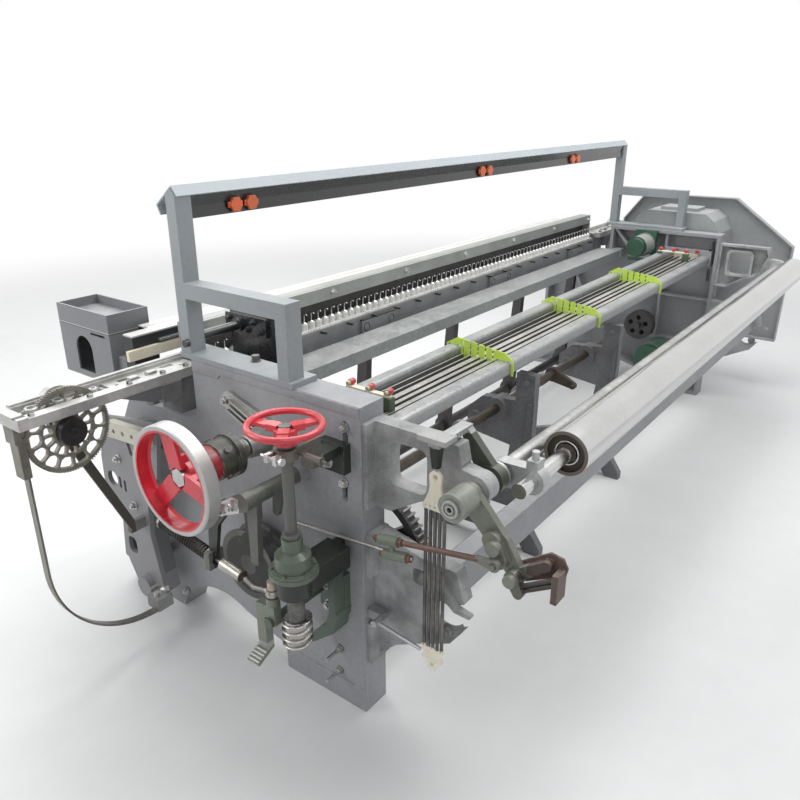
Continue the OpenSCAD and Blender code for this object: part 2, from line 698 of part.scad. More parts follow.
// Main shaft with the nut on its end and a collar on each side of the frame
hub_gap = 0.4;
hub_out = -232;
module main_shaft() color(steel) near() {
    rod_x([-wheel_out - 8, main_at[0], main_at[1]], shaft_r, wheel_out + 8 + frame_t + 26);
    rod_x([-112, main_at[0], main_at[1]], shaft_r + 9, 12);
    rod_x([frame_t + hub_gap, main_at[0], main_at[1]], shaft_r + 5, 22);
    translate([-wheel_out - 14, main_at[0], main_at[1]]) rotate([0, 90, 0])
        cylinder(r = 25, h = 14, $fn = 6);
}
module clutch_hub() color(green) near() difference() {
    union() {
        rod_x([hub_out, main_at[0], main_at[1]], 45, 34);
        rod_x([-206, main_at[0], main_at[1]], 50, 52);
        rod_x([-158, main_at[0], main_at[1]], 58, 18);
        rod_x([-140, main_at[0], main_at[1]], 32, 28);
        for (i = [0:3]) translate([0, main_at[0], main_at[1]]) rotate([45 + 90 * i, 0, 0])
            rod_z([-182, 0, 44], 9, 12);
    }
    rod_x([hub_out - 1, main_at[0], main_at[1]], shaft_r, 150);
}
module handwheel() color(red) near() difference() {
    union() {
        // Rim with a flat outer face
        translate([-wheel_out, main_at[0], main_at[1]]) rotate([0, -90, 0])
            rotate_extrude($fn = 96) polygon([[wheel_r - 18, 0], [wheel_r - 3, 0], [wheel_r, 3],
                [wheel_r, wheel_w - 3], [wheel_r - 3, wheel_w], [wheel_r - 18, wheel_w],
                [wheel_r - 14, wheel_w - 6], [wheel_r - 14, 6]]);
        rod_x([-wheel_out, main_at[0], main_at[1]], 40, wheel_out + hub_out);
        for (i = [0:2]) translate([0, main_at[0], main_at[1]]) rotate([105 + 120 * i, 0, 0])
            box([-wheel_out - 14, -23, 20], [-wheel_out - 4, 23, wheel_r - 10]);
        for (i = [0:2]) translate([0, main_at[0], main_at[1]]) rotate([105 + 120 * i, 0, 0])
            box([-wheel_out - 5, -23, 20], [-wheel_out + 14, 23, 52]);
    }
    rod_x([-wheel_out - 60, main_at[0], main_at[1]], shaft_r, 140);
    translate([-wheel_out - 60, main_at[0], main_at[1]]) rotate([0, 90, 0]) cylinder(r = 26, h = 60);
}

// Upright let-off shaft, its red wheel and the worm at its foot
letoff_y = 62;
letoff_at = [-letoff_out, letoff_y];
letoff_top = 936;
worm_z = 336;
worm_len = 80;
neck_top = 648;
flange_z = 549;
disc_h = 59;
disc_r = 44;
module letoff_shaft() color(steel) near() translate(concat(letoff_at, 0)) {
    translate([0, 0, worm_z - 8]) cylinder(r = letoff_r, h = letoff_top - worm_z + 8);
    translate([0, 0, neck_top + 0.3]) cylinder(r = letoff_r + 8, h = 12);
    translate([0, 0, letoff_top - 52]) cylinder(r = letoff_r + 6, h = 8);
    // Threaded length over the worm
    difference() {
        translate([0, 0, worm_z + worm_len]) cylinder(r = 22, h = flange_z - disc_h - 2 - worm_z - worm_len);
        for (i = [0:15]) translate([0, 0, worm_z + worm_len + 4 + 4 * i]) rotate_extrude()
            polygon([[23, -1.2], [23, 1.2], [20.6, 0.2], [20.6, -0.2]]);
    }
}
module letoff_wheel() color(red) near() translate(concat(letoff_at, 0)) {
    difference() {
        union() {
            translate([0, 0, letoff_top]) rotate_extrude($fn = 72) translate([letoff_wheel_r, 0])
                circle(r = 8, $fn = 24);
            translate([0, 0, letoff_top - 44]) cylinder(r = 27, h = 36);
            for (i = [0:2]) rotate(-140 + 120 * i) translate([0, 0, letoff_top - 9]) {
                translate([14, -13, -8]) cube([30, 26, 16]);
                translate([30, -13, -3]) cube([letoff_wheel_r - 33, 26, 9]);
            }
        }
        translate([0, 0, letoff_top - 60]) cylinder(r = letoff_r, h = 90);
    }
}
// Worm: a core with a square thread wound round it
module letoff_worm() color(steel) near() translate(concat(letoff_at, worm_z)) difference() {
    union() {
        cylinder(r = worm_r - 8, h = worm_len);
        intersection() {
            translate([0, 0, -2]) linear_extrude(worm_len + 4, twist = -360 * worm_turns, $fn = 40,
                slices = 24 * worm_turns) translate([8, 0]) circle(r = worm_r - 8, $fn = 32);
            cylinder(r = worm_r, h = worm_len);
        }
    }
    translate([0, 0, -3]) cylinder(r = letoff_r, h = worm_len + 6);
}
// Green domed housing round the shaft
module letoff_housing() color(green) near() translate(concat(letoff_at, 0)) difference() {
    union() {
        translate([0, 0, flange_z]) cylinder(r = 61, h = 9);
        translate([0, 0, flange_z + 9]) cylinder(r = 58, h = 7);
        translate([0, 0, flange_z + 16]) cylinder(r1 = 47, r2 = 44, h = 37);
        translate([0, 0, flange_z + 53]) cylinder(r1 = 44, r2 = 27, h = 11);
        translate([0, 0, flange_z + 64]) cylinder(r = 26, h = neck_top - flange_z - 64);
        for (i = [0:5]) rotate(60 * i + 20) translate([53, 0, flange_z + 16]) cylinder(r = 4, h = 4);
    }
    translate([0, 0, flange_z - 1]) cylinder(r = letoff_r + run_fit, h = neck_top - flange_z + 2);
}
// Dark green brackets that hold the housing and the shaft's top
pedal_at = [126, 388];
pedal_pin_r = 9;
pin_y = 128;
lever_x = -214;
lever_t = 24;
clamp_z = 856;
module letoff_bracket() color(green) near() {
    difference() {
        union() {
            box([-22, 46, 326], [0, 136, 450]);
            box([-22, 60, 448], [0, 84, flange_z]);
            box([-letoff_out, 24, flange_z - disc_h], [-22, 100, flange_z]);
            translate(concat(letoff_at, flange_z - disc_h)) cylinder(r = disc_r, h = disc_h);
            rod_x([lever_x - 10, pedal_at[0], pedal_at[1]], pedal_pin_r, -lever_x - 10);
            rod_x([lever_x - 10, pedal_at[0], pedal_at[1]], pedal_pin_r + 5, 9);
            rod_x([lever_x + lever_t + 1, pedal_at[0], pedal_at[1]], pedal_pin_r + 4, -lever_x - lever_t - 11);
            // Curved rib under the bracket
            yz(-60, 60) {
                link2([58, 344], [74, 290], 14, 16);
                link2([74, 290], [138, 232], 16, 12);
            }
            box([-60, 50, 330], [-22, 72, flange_z - 40]);
        }
        translate(concat(letoff_at, flange_z - 60)) cylinder(r = letoff_r + 9, h = 70);
    }
    difference() {
        union() {
            box([-26, 32, 752], [0, 116, 830]);
            box([-100, letoff_y - 14, 800], [-10, letoff_y + 30, 826]);
            box([-116, letoff_y - 12, 800], [-84, letoff_y + 26, clamp_z + 20]);
            box([-letoff_out + 20, letoff_y - 12, clamp_z + 2], [-84, letoff_y + 22, clamp_z + 20]);
            translate(concat(letoff_at, clamp_z)) cylinder(r = letoff_r + 15, h = 26);
            // Lugs with a cross bolt, and the latch rod with its small spring
            for (s = [-1, 1]) translate([-letoff_out - 52, letoff_y + s * 13 - 6, clamp_z + 3])
                cube([40, 12, 20]);
            rod_y([-letoff_out - 42, letoff_y - 32, clamp_z + 13], 4, 68);
            rod_y([-letoff_out - 42, letoff_y - 32, clamp_z + 13], 9, 7);
            rod_y([-letoff_out + 12, letoff_y - 112, clamp_z + 14], 4, 90);
            rod_y([-letoff_out + 12, letoff_y - 92, clamp_z + 14], 8, 42);
            rod_y([-letoff_out + 12, letoff_y - 98, clamp_z + 14], 10, 4);
        }
        translate(concat(letoff_at, clamp_z - 4)) cylinder(r = letoff_r + run_fit, h = 40);
    }
}

// Brake: drum on the frame, tube shaft with clamp and arms, rod with its spring, and the pedal
drum_r = 100;
eye_at = [345, 483];
rod_lean = 7.5;
brake_clamp_x = -214;
rod_r = 7;
eye_gap = 7;
module brake_drum() color(dark) near() {
    rod_x([-24, drum_at[0], drum_at[1]], drum_pin_r, 24 + frame_t + 12);
    rod_x([frame_t + hub_gap, drum_at[0], drum_at[1]], drum_pin_r + 12, 16);
    difference() {
        rod_x([-84, drum_at[0], drum_at[1]], drum_r, 60);
        rod_x([-85, drum_at[0], drum_at[1]], drum_r - 12, 26);
        for (i = [0:2]) translate([0, drum_at[0], drum_at[1]]) rotate([120 * i, 0, 0])
            rod_x([-90, 0, 58], 18, 60);
    }
    rod_x([-80, drum_at[0], drum_at[1]], 30, 24);
    // Groove band
    rod_x([-30, drum_at[0], drum_at[1]], drum_r + 7, 6);
    rod_x([-84, drum_at[0], drum_at[1]], drum_r + 7, 6);
}
module brake_shaft() color(green) near() {
    rod_x([-206, brake_at[0], brake_at[1]], brake_r, 206 + frame_t + 20);
    rod_x([-186, brake_at[0], brake_at[1]], brake_r + 6, 186 - boss_h - 1);
    rod_x([frame_t + hub_gap, brake_at[0], brake_at[1]], brake_r + 8, 14);
    difference() {
        union() {
            // Clamp with its two bolts
            yz(brake_clamp_x, 26) link2(brake_at, [284, 656], 25, 18);
            for (p = [[232, 684], [278, 659]]) bolt_head([brake_clamp_x, p[0], p[1]], 12);
            yz(-206, 12) {
                link2([280, 660], [326, 606], 19, 21);
                link2([326, 606], eye_at, 21, 13);
            }
            box([-224, eye_at[0] - 9, eye_at[1] - 26], [-176, eye_at[0] + 9, eye_at[1] + 26]);
            // Inner arms towards the drum
            yz(-140, 16) {
                link2(brake_at, [272, 640], 22, 17);
                link2([272, 640], [262, 560], 17, 15);
                link2([262, 560], [300, 520], 15, 12);
            }
            yz(-182, 18) link2(brake_at, [206, 520], 21, 14);
            yz(-92, 12) link2(brake_at, [214, 618], 20, 12);
        }
        on_rod() rod_y([0, -40, 0], rod_r + eye_gap, 80);
    }
}
module on_rod() translate([-200, eye_at[0], eye_at[1]]) rotate([rod_lean, 0, 0]) children();
ring_z = 470;
ring_gap = 0.9;
module brake_rod() color(steel) near() difference() {
    union() {
        on_rod() {
            rod_y([0, -123, 0], rod_r, 350);
            rod_y([0, -110, 0], 17, 76);
            // Spring between two washers
            rod_y([0, 15, 0], 20, 5);
            rod_y([0, 214, 0], 18, 5);
            rotate([-90, 0, 0]) rotate_extrude() polygon(concat([[0, 19]], [for (i = [0:18])
                each [[11, 20 + 10.2 * i], [16, 23.4 + 10.2 * i], [16, 26.8 + 10.2 * i]]],
                [[11, 215], [0, 215]]));
            translate([0, 219, 0]) rotate([-90, 0, 0]) cylinder(r = 12, h = 12, $fn = 6);
        }
        // Bent end and the ring on the pedal's pin
        for (p = [[224, 467], [196, 456], [166, 462]]) translate([-200, p[0], p[1]]) sphere(r = rod_r + 1);
        along(-200, [224, 467], [196, 456], rod_r);
        along(-200, [196, 456], [166, 462], rod_r);
        along(-200, [166, 462], [pin_y + 8, ring_z - 1], rod_r);
        rod_z([-200, pin_y, ring_z - 9], 15, 17);
        // Round ends of the ring on the line that it tilts about
        rod_x([-217, pin_y, ring_z], 7.5, 34);
    }
    rod_z([-200, pin_y, ring_z - 30], pedal_pin_r + ring_gap, 50);
}
module pedal_lever() color(green) near() difference() {
    union() {
        yz(lever_x, lever_t) {
            polygon([[112, 400], [112, 436], [178, 427], [178, 286], [147, 290], [147, 392], [140, 398]]);
            translate(pedal_at) circle(r = 17);
        }
        rod_z([-200, pin_y, 432], 17.5, ring_z - 14 - 432);
        rod_z([-200, pin_y, 432], pedal_pin_r, 60);
        rod_z([-200, pin_y, ring_z + 10], 12, 23);
        // Ribbed tread
        translate([-202, 147, 292]) rotate([0, -27.5, 0]) {
            translate([-54, 0, -11]) cube([64, 41, 10]);
            for (i = [0:4]) translate([-51 + 10 * i, 0, -2]) cube([5, 41, 4.5]);
        }
    }
    rod_x([lever_x - 20, pedal_at[0], pedal_at[1]], pedal_pin_r + run_fit, 60);
}

// Gear of the warp beam with spokes, just inside the near frame
module beam_gear() color(dark) near() {
    difference() {
        union() {
            yz(gear_x, gear_w) translate(gear_at) difference() {
                union() {
                    circle(r = gear_r - gear_mod, $fn = 96);
                    for (i = [0:gear_teeth - 1]) rotate(360 * i / gear_teeth) polygon([
                        [gear_r - 1.3 * gear_mod, -gear_mod * 0.98], [gear_r - 0.2, -gear_mod * 0.72],
                        [gear_r + gear_mod, -gear_mod * 0.32], [gear_r + gear_mod, gear_mod * 0.32],
                        [gear_r - 0.2, gear_mod * 0.72], [gear_r - 1.3 * gear_mod, gear_mod * 0.98]]);
                }
                difference() {
                    circle(r = gear_r - 26);
                    circle(r = 52);
                    for (i = [0:4]) rotate(72 * i) translate([0, -14]) square([gear_r, 28]);
                }
            }
            rod_x([gear_x, gear_at[0], gear_at[1]], 44, gear_w + 6);
        }
        rod_x([gear_x - 1, gear_at[0], gear_at[1]], gear_pin_r + run_fit, gear_w + 20);
    }
}

// Black stay plate with its tube to the near portal
plate_x = 196;
module stay_plate() color(dark) near() {
    inner = portal_x + tube_w / 2;
    stay_at = [front_post_y - 9, 985];
    yz(plate_x, 8) difference() {
        polygon([[470, channel_z + 60], [470, 1026], [672, 1026], [672, channel_z],
            [channel_y + 4, channel_z], [channel_y + 4, channel_z + 30]]);
        translate([600, 830]) rounded2(60, 30, 10);
    }
    // Flange strip that the tube is bolted to
    yz(plate_x - 10, 10) rounded_at([595, 988], 174, 58, 6);
    rod_x([inner, stay_at[0], stay_at[1]], 14, plate_x - 10 - inner);
    rod_x([plate_x - 22, stay_at[0], stay_at[1]], 21, 12);
    for (p = [[530, 974], [560, 1000], [584, 974], [664, 1000]])
        bolt_head([plate_x - 10, p[0], p[1]], 8);
    // Knob on the outside of the post
    rod_x([portal_x - tube_w / 2 - 14, front_post_y - 12, 976], 11, 14);
}
module rounded_at(at, w, h, r) translate(at) rounded2(w, h, r);

// Box with an open tray at the front of the near frame
module tray_box() color(zinc) near() {
    low = arm_h + 15;
    top = arm_h + 250;
    difference() {
        box([0, arm_len + 14, low], [150, front_reach, top]);
        box([6, arm_len + 20, top - 30], [144, front_reach - 6, top + 1]);
        box([6, arm_len + 20, low + 6], [144, front_reach - 6, top - 41]);
        // Arched opening in the side
        translate([-1, front_reach - 130, low]) rotate([90, 0, 90]) linear_extrude(8) {
            translate([0, 96]) circle(r = 46);
            translate([-46, 20]) square([92, 76]);
        }
        box([-1, arm_len + 40, top - 80], [7, arm_len + 120, top - 72]);
    }
    box([20, breast_y + 46, low + 16], [70, arm_len + 14, low + 96]);
}

// Sheet guard outside the far frame with a bevelled hood inside it
guard_x = -300;
function guard_edge(t) = [[t - 300, 300 + t], [t - 305, frame_h - 80 - t / 2],
    [32 + t / 3, frame_h + 162 - t], [560 - t / 2, frame_h + 158 - t], [680 - t, frame_h - t / 3],
    [680 - t, 300 + t]];
module gear_casing() color(iron) far() {
    yz(guard_x, 6) polygon(guard_edge(0));
    yz(guard_x + 6, 40) difference() {
        polygon(guard_edge(0));
        polygon(guard_edge(6));
    }
    for (p = [[100, 500], [520, 500], [100, 360], [520, 360]])
        rod_x([guard_x + 6, p[0], p[1]], 16, -guard_x - 6);
}
module casing_hood() color(iron) far() {
    top = frame_h + 92;
    yz(guard_x + 6, -guard_x - 18) polygon([[40, 640], [40, top - 102], [74, top - 37], [124, top],
        [452, top], [504, top - 37], [536, top - 102], [536, 640]]);
    box([guard_x + 70, 190, top], [-80, 400, top + 18]);
    box([-12, 90, 700], [0, 480, frame_h - 30]);
}

// Green motor high on the far frame and the main motor on the floor behind it
module drive_motor() color(green) far() {
    rod_x([130, 400, 850], 56, 118);
    rod_x([118, 400, 850], 62, 12);
    rod_x([248, 400, 850], 48, 30);
    box([frame_t, 340, 760], [118, 460, frame_h - 4]);
    box([150, 350, 770], [230, 450, 800]);
    rod_x([160, 220, 250], 88, 190);
    rod_x([350, 220, 250], 80, 34);
    box([190, 140, stand_arch], [312, 300, 180]);
}
module drive_pulley() color(dark) far() {
    rod_x([-10, drum_at[0], drum_at[1]], drum_pin_r, 10 + 236);
    difference() {
        rod_x([150, drum_at[0], drum_at[1]], 82, 60);
        translate([150, drum_at[0], drum_at[1]]) rotate([0, 90, 0]) for (i = [0:3])
            translate([0, 0, 9 + 14 * i - 1]) rotate_extrude() polygon([[83, -2], [83, 8], [74, 5],
                [74, 1]]);
        for (i = [0:4]) translate([0, drum_at[0], drum_at[1]]) rotate([72 * i, 0, 0])
            rod_x([140, 0, 46], 14, 90);
    }
    rod_x([frame_t + hub_gap, drum_at[0], drum_at[1]], drum_pin_r + 10, 14);
}

// Rod and fork that hold the springs' lower plate to the near frame
spring_y = -221;
spring_low = 340;
spring_step = 15;
module spring_anchor() color(zinc) near() {
    along(0, [spring_y + 36.8, 317], [-46, 333], 5);
    rod_x([-16, -44, 336], 9, 52);
    box([12, -44, 322], [38, 0, 350]);
}
spring_r = 6.5;
module tension_springs() color(dark) near() {
    for (i = [-2:2]) rod_z([0, spring_y + spring_step * i, spring_low], spring_r, spring_len);
    top = spring_low + spring_len;
    yz(-5, 10) translate([spring_y, 0]) difference() {
        union() {
            polygon([[-40, top], [-38, top + 22], [-14, top + 44], [-13, top + 104],
                [13, top + 104], [14, top + 44], [38, top + 22], [40, top]]);
            polygon([[-40, spring_low], [-34, spring_low - 28], [-10, spring_low - 40],
                [-14, spring_low - 65], [14, spring_low - 65], [10, spring_low - 40],
                [34, spring_low - 26], [40, spring_low]]);
        }
        translate([0, top + 88]) circle(r = 7);
        translate([0, spring_low - 54]) circle(r = 6);
    }
}

// Back rest: swing shaft, long lever, upper arm with the spring hanger, cradles and roller
module back_rest_shaft() color(steel) across() {
    translate([-outer_x - 52, -pivot_back, pivot_z]) rotate([0, 90, 0])
        cylinder(r = pivot_r, h = 2 * outer_x + 52 - 20);
    translate([-outer_x - 60, -pivot_back, pivot_z]) rotate([0, 90, 0]) cylinder(r = 34, h = 8);
}
lever_end = pivot_at + lever_len * [-0.65, -0.76];
lever_pin = pivot_at + lever_len * [-0.42, -0.444];
tie_pin = [-395, 669];
tie_pin_r = 6;
module tension_lever() color(green) near() {
    difference() {
        union() {
            rod_x([-52, pivot_at[0], pivot_at[1]], 34, 58);
            yz(6, 18) {
                link2(pivot_at, lever_pin, 30, 26);
                link2(lever_pin, lever_end, 26, 22);
                link2(lever_end, [-500, 690], 16, 12);
            }
            yz(-10, 16) link2(lever_pin + [12, 8], tie_pin, 22, 19);
            rod_x([-38, tie_pin[0], tie_pin[1]], tie_pin_r, 30);
            yz(-14, 20) link2(lever_end, lever_end - [16, 32], 19, 12);
            rod_x([-26, lever_pin[0], lever_pin[1]], 17, 16);
            rod_x([-28, lever_end[0], lever_end[1]], 15, 14);
        }
        rod_x([-60, pivot_at[0], pivot_at[1]], pivot_r, 90);
    }
    // Rusty plate and its two small springs
    yz(24, 5) polygon([[-420, 660], [-500, 716], [-530, 712], [-542, 690], [-538, 672], [-430, 612]]);
    for (s = [0, 1]) translate([-4, lever_end[0] - 12, lever_end[1] - 32 + 14 * s])
        rotate([-32, 0, 0]) rotate([90, 0, 0]) cylinder(r = 5.5, h = 98);
    box([-14, -538, 620], [29, -524, 690]);
}
cradle_near = 146;
cradle_far = 3036;
module cradle(x, t) difference() {
    union() {
        yz(x, t) link2(pivot_at, roller_at, 33, 33);
        box([x, roller_at[0] - 14, roller_at[1] + 20], [x + t, roller_at[0] + 14, roller_at[1] + 52]);
    }
    rod_x([x - 1, pivot_at[0], pivot_at[1]], pivot_r, t + 2);
    rod_x([x - 1, roller_at[0], roller_at[1]], journal_r + run_fit, t + 2);
}
module back_rest_arms() color(zinc) near() {
    cradle(cradle_near, 34);
    cradle(cradle_far, 14);
    rod_z([cradle_near + 17, roller_at[0], roller_at[1] + 52], 9, 20);
    // Upper arm with the hanger cone over the springs
    difference() {
        union() {
            rod_x([100, pivot_at[0], pivot_at[1]], 36, 38);
            yz(104, 22) link2(pivot_at, [spring_y - 6, 898], 30, 12);
            box([-14, spring_y - 16, 896], [126, spring_y + 14, 910]);
            translate([0, spring_y, 843]) cylinder(r1 = 11, r2 = 17, h = 54);
            translate([-24, spring_y - 38, 910]) cube([48, 76, 12]);
        }
        rod_x([90, pivot_at[0], pivot_at[1]], pivot_r, 60);
        for (y = [-26, 0, 26]) rod_z([0, spring_y + y, 890], 5, 30);
    }
}
barrel_from = 330;
module back_rest_roller() color(steel) near() {
    difference() {
        rod_x([barrel_from, roller_at[0], roller_at[1]], roller_r, roller_len);
        rod_x([barrel_from - 1, roller_at[0], roller_at[1]], roller_r - 9, 13);
        rod_x([barrel_from - 1, roller_at[0], roller_at[1]], journal_r + 13, 20);
    }
    rod_x([90, roller_at[0], roller_at[1]], journal_r, barrel_from - 89 + 20);
    // Bearing ring and hub inside the open end
    difference() {
        rod_x([barrel_from + 5, roller_at[0], roller_at[1]], journal_r + 13.5, 15);
        rod_x([barrel_from, roller_at[0], roller_at[1]], journal_r + 10, 21);
    }
    rod_x([barrel_from + 2, roller_at[0], roller_at[1]], journal_r + 6, 18);
    rod_x([barrel_from + roller_len, roller_at[0], roller_at[1]], journal_r,
        cradle_far + 14 + 1 - barrel_from - roller_len);
}

// Rod from the lever past the near frame, with its pair of couplings
module tie_rod() color(brown) near() {
    a = [-372, 672];
    b = [-100, 622];
    difference() {
        union() {
            yz(-34, 12) link2(tie_pin, a + [24, -2], 15, 8);
            along(-28, a + [16, -2], b, 7);
        }
        rod_x([-40, tie_pin[0], tie_pin[1]], tie_pin_r + run_fit, 40);
    }
    along(-30, [-150, 632], [-70, 616], 14);
    along(-30, [-176, 598], [-84, 580], 14);
    yz(-36, 12) link2([-112, 625], [-122, 590], 9, 9);
    along(-30, [-110, 586], [206, 560], 4.5);
}
module along(x, a, b, r) translate([x, a[0], a[1]]) rotate([atan2(b[1] - a[1], b[0] - a[0]), 0, 0])
    rotate([-90, 0, 0]) cylinder(r = r, h = norm(b - a));

// Bolts on the outer face of the near frame
module frame_bolts() color(steel) near() {
    for (p = [[99, 508], [upper_slot[0], 868], [lower_slot[0], 716], [777, 71]])
        bolt_head([0, p[0], p[1]], 11);
    for (p = [[102, 404], [102, 340]]) bolt_head([-22, p[0], p[1]], 12);
    for (p = [[89, 180], [93, 102]]) {
        bolt_head([0, p[0], p[1]], 10);
        rod_x([-58, p[0], p[1]], 5, 44);
    }
    bolt_head([-14, 462, 845], 13);
    bolt_head([-26, 84, 776], 13);
    for (p = [[916, 652], [908, 568], [852, 420]]) bolt_head([front_x, p[0], p[1]], 11);
    for (y = [280, 420]) translate([portal_x + 40, y, frame_h + sole_t]) {
        cylinder(r = 14, h = 3);
        translate([0, 0, 3]) cylinder(r = 12, h = 14, $fn = 6);
    }
}

// Sley: box beam on rocking arms, with the race of tape guides, the reed and the cap
sley_y = 716;
sley_d = 88;
sley_low = 765;
sley_top = 845;
sley_x = side_x - 14;
cap_low_z = 933;
cap_top_z = 980;
module sley_beam() color(iron) across() {
    difference() {
        translate([-sley_x, sley_y, sley_low]) cube([2 * sley_x, sley_d, sley_top - sley_low]);
        translate([-sley_x - 1, sley_y + 6, sley_low + 6])
            cube([2 * sley_x + 2, sley_d - 12, sley_top - sley_low - 12]);
    }
    // Slide blocks with two bores on the rear face
    for (x = [-610, 344, 1210]) difference() {
        translate([x - 104, sley_y - 12, sley_low + 4]) cube([208, 12, 64]);
        for (s = [-1, 1]) difference() {
            rod_y([x + 77 * s, sley_y - 13, sley_low + 36], 19, 7);
            rod_y([x + 77 * s, sley_y - 14, sley_low + 36], 13, 9);
        }
    }
    // Screws along the top of the rear face
    for (i = [-8:10]) rod_y([145 * i - 61, sley_y - 26, sley_top - 9], 5, 27);
    for (s = [-1, 1]) translate([s * (sley_x - 8) - 8, sley_y + 32, sley_top])
        cube([16, sley_d - 32, cap_low_z - sley_top]);
}
module sley_cap() color(zinc) across() difference() {
    union() {
        translate([-sley_x, 750, cap_low_z]) cube([2 * sley_x, 60, cap_top_z - cap_low_z]);
        for (i = [-2:4]) {
            rod_y([452 * i - 370, 746, 957], 14, 5);
            translate([452 * i - 370, 739, 957]) rotate([-90, 0, 0]) cylinder(r = 9, h = 8, $fn = 6);
        }
    }
    translate([-sley_x + 18, 755, cap_low_z - 1]) cube([2 * sley_x - 36, 50, cap_top_z - cap_low_z - 4]);
}
module reed() color(dark) across()
    translate([-sley_x + 18, 788, sley_top]) cube([2 * sley_x - 36, 8, cap_low_z + 20 - sley_top]);
// Row of wire hooks on lobed feet; each hook leans towards the warp
race_w = 46;
hook_n = floor((2 * sley_x - 80) / hook_pitch);
module tape_guides() color(cream) across() {
    translate([-sley_x + 20, sley_y + 2, sley_top])
        cube([2 * sley_x - 40, race_w, race_z - sley_top - 12]);
    for (i = [0:hook_n]) translate([hook_pitch * (i - hook_n / 2), sley_y + 24, race_z - 12]) {
        cylinder(r = 13, h = 13, $fn = 24);
        translate([0, 0, 16]) sphere(r = 14, $fn = 24);
        translate([0, 0, 26]) cylinder(r = 1.8, h = 22, $fn = 8);
        translate([0, -9, 48]) rotate([90, 0, 90]) rotate_extrude(angle = 130, $fn = 32)
            translate([9, 0]) circle(r = 1.8, $fn = 8);
    }
}
// Rocking shaft low between the frames, with the arms that carry the sley
module sley_rocker() color(dark) across() {
    end = outer_x - web_t - 2;
    translate([-end, rock_at[0], rock_at[1]]) rotate([0, 90, 0]) cylinder(r = rock_r, h = 2 * end);
    for (x = [-1290, -640, 0, 640, 1290]) {
        yz(x - 16, 32) {
            translate(rock_at) circle(r = 44);
            link2(rock_at, [754, 700], 34, 24);
            polygon([[726, 690], [sley_y + 4, sley_low], [sley_y + sley_d - 4, sley_low], [782, 690]]);
        }
        translate([x - 44, sley_y + 4, sley_low - 12]) cube([88, sley_d - 8, 12]);
    }
}

side_frame_near();
side_frame_far();
rear_bracket_near();
rear_bracket_far();
beam_bracket_near();
beam_bracket_far();
front_bracket();
portal_near();
portal_far();
portal_cap();
lamp_panel();
rear_beam();
cross_channel();
breast_beam();
shaft_stands();
stop_tubes();
contact_bars();
bar_ends();
comb_separators();
rapier_rail_near();
rapier_rail_far();
guide_strip_near();
guide_strip_far();
shaft_bearing();
letoff_housing();
letoff_bracket();
brake_drum();
stay_plate();
tray_box();
gear_casing();
casing_hood();
drive_motor();
spring_anchor();
frame_bolts();
handwheel();
main_shaft();
clutch_hub();
letoff_wheel();
letoff_shaft();
letoff_worm();
beam_gear();
sley_beam();
sley_cap();
tape_guides();
reed();
sley_rocker();
rapier_wheel_near();
rapier_wheel_far();
tension_lever();
back_rest_shaft();
back_rest_arms();
back_rest_roller();
tension_springs();
tie_rod();
brake_shaft();
brake_rod();
pedal_lever();
rocker_shaft();
cam_shaft();
drive_pulley();
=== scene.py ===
# %% [markdown]
# # A wide power loom
# The loom comes from the CAD model as a fixed frame. Each CAD node is already in its place, so this
# lesson is about looks: where the camera and lamps stand, what each metal and paint is like, and the few
# pieces, such as coil springs, that are better wound in Blender than drawn as solids.

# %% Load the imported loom
import math
import bpy
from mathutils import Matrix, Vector


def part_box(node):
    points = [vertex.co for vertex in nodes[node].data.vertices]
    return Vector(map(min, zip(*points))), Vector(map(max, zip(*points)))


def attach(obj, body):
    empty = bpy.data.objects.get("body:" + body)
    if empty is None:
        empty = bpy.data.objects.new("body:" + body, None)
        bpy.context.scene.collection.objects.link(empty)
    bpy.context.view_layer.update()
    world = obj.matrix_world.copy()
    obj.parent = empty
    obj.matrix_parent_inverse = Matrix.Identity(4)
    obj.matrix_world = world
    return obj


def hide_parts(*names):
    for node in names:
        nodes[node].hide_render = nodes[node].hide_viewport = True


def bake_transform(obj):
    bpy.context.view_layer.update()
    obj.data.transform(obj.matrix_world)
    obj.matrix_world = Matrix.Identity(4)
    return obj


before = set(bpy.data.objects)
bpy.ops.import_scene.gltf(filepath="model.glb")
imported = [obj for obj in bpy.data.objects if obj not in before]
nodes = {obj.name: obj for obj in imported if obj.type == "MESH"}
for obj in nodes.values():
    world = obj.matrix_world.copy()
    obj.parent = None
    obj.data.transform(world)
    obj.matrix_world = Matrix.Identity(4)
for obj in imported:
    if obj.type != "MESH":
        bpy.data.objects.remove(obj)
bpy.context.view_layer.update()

scene = bpy.context.scene

# %% [markdown]
# The camera stands at the warp side, left of the near side frame and above it. Its place and tilt were
# solved from the straight edges of the side frame and the portal, with the frame's height as the measure. A
# lens of 33.3 mm on a 36 mm sensor spreads the lines as the photograph does.

# %% Stand the camera at the warp side
look_yaw, look_down = math.radians(36.976), math.radians(21.904)
look = Vector((math.cos(look_yaw) * math.cos(look_down), math.sin(look_yaw) * math.cos(look_down),
    -math.sin(look_down)))
camera_data = bpy.data.cameras.new("warp_side_camera")
camera_data.lens = 33.3
camera_data.sensor_width = 36
camera = bpy.data.objects.new("warp_side_camera", camera_data)
scene.collection.objects.link(camera)
camera.location = (-2.801, -1.43, 1.6)
camera.rotation_mode = "QUATERNION"
camera.rotation_quaternion = look.to_track_quat("-Z", "Y")
scene.camera = camera
scene.view_settings.view_transform = "Standard"
print("camera looks along", [round(c, 3) for c in look])

# %% [markdown]
# Every finish below is a small tree of nodes, and these helpers keep the trees short to read. A value may be
# a socket of another node, which is then linked, or a constant, which is written on the socket itself.

# %% Helpers for the node trees
def feed(tree, value, socket):
    if isinstance(value, bpy.types.NodeSocket):
        tree.links.new(value, socket)
    else:
        socket.default_value = value

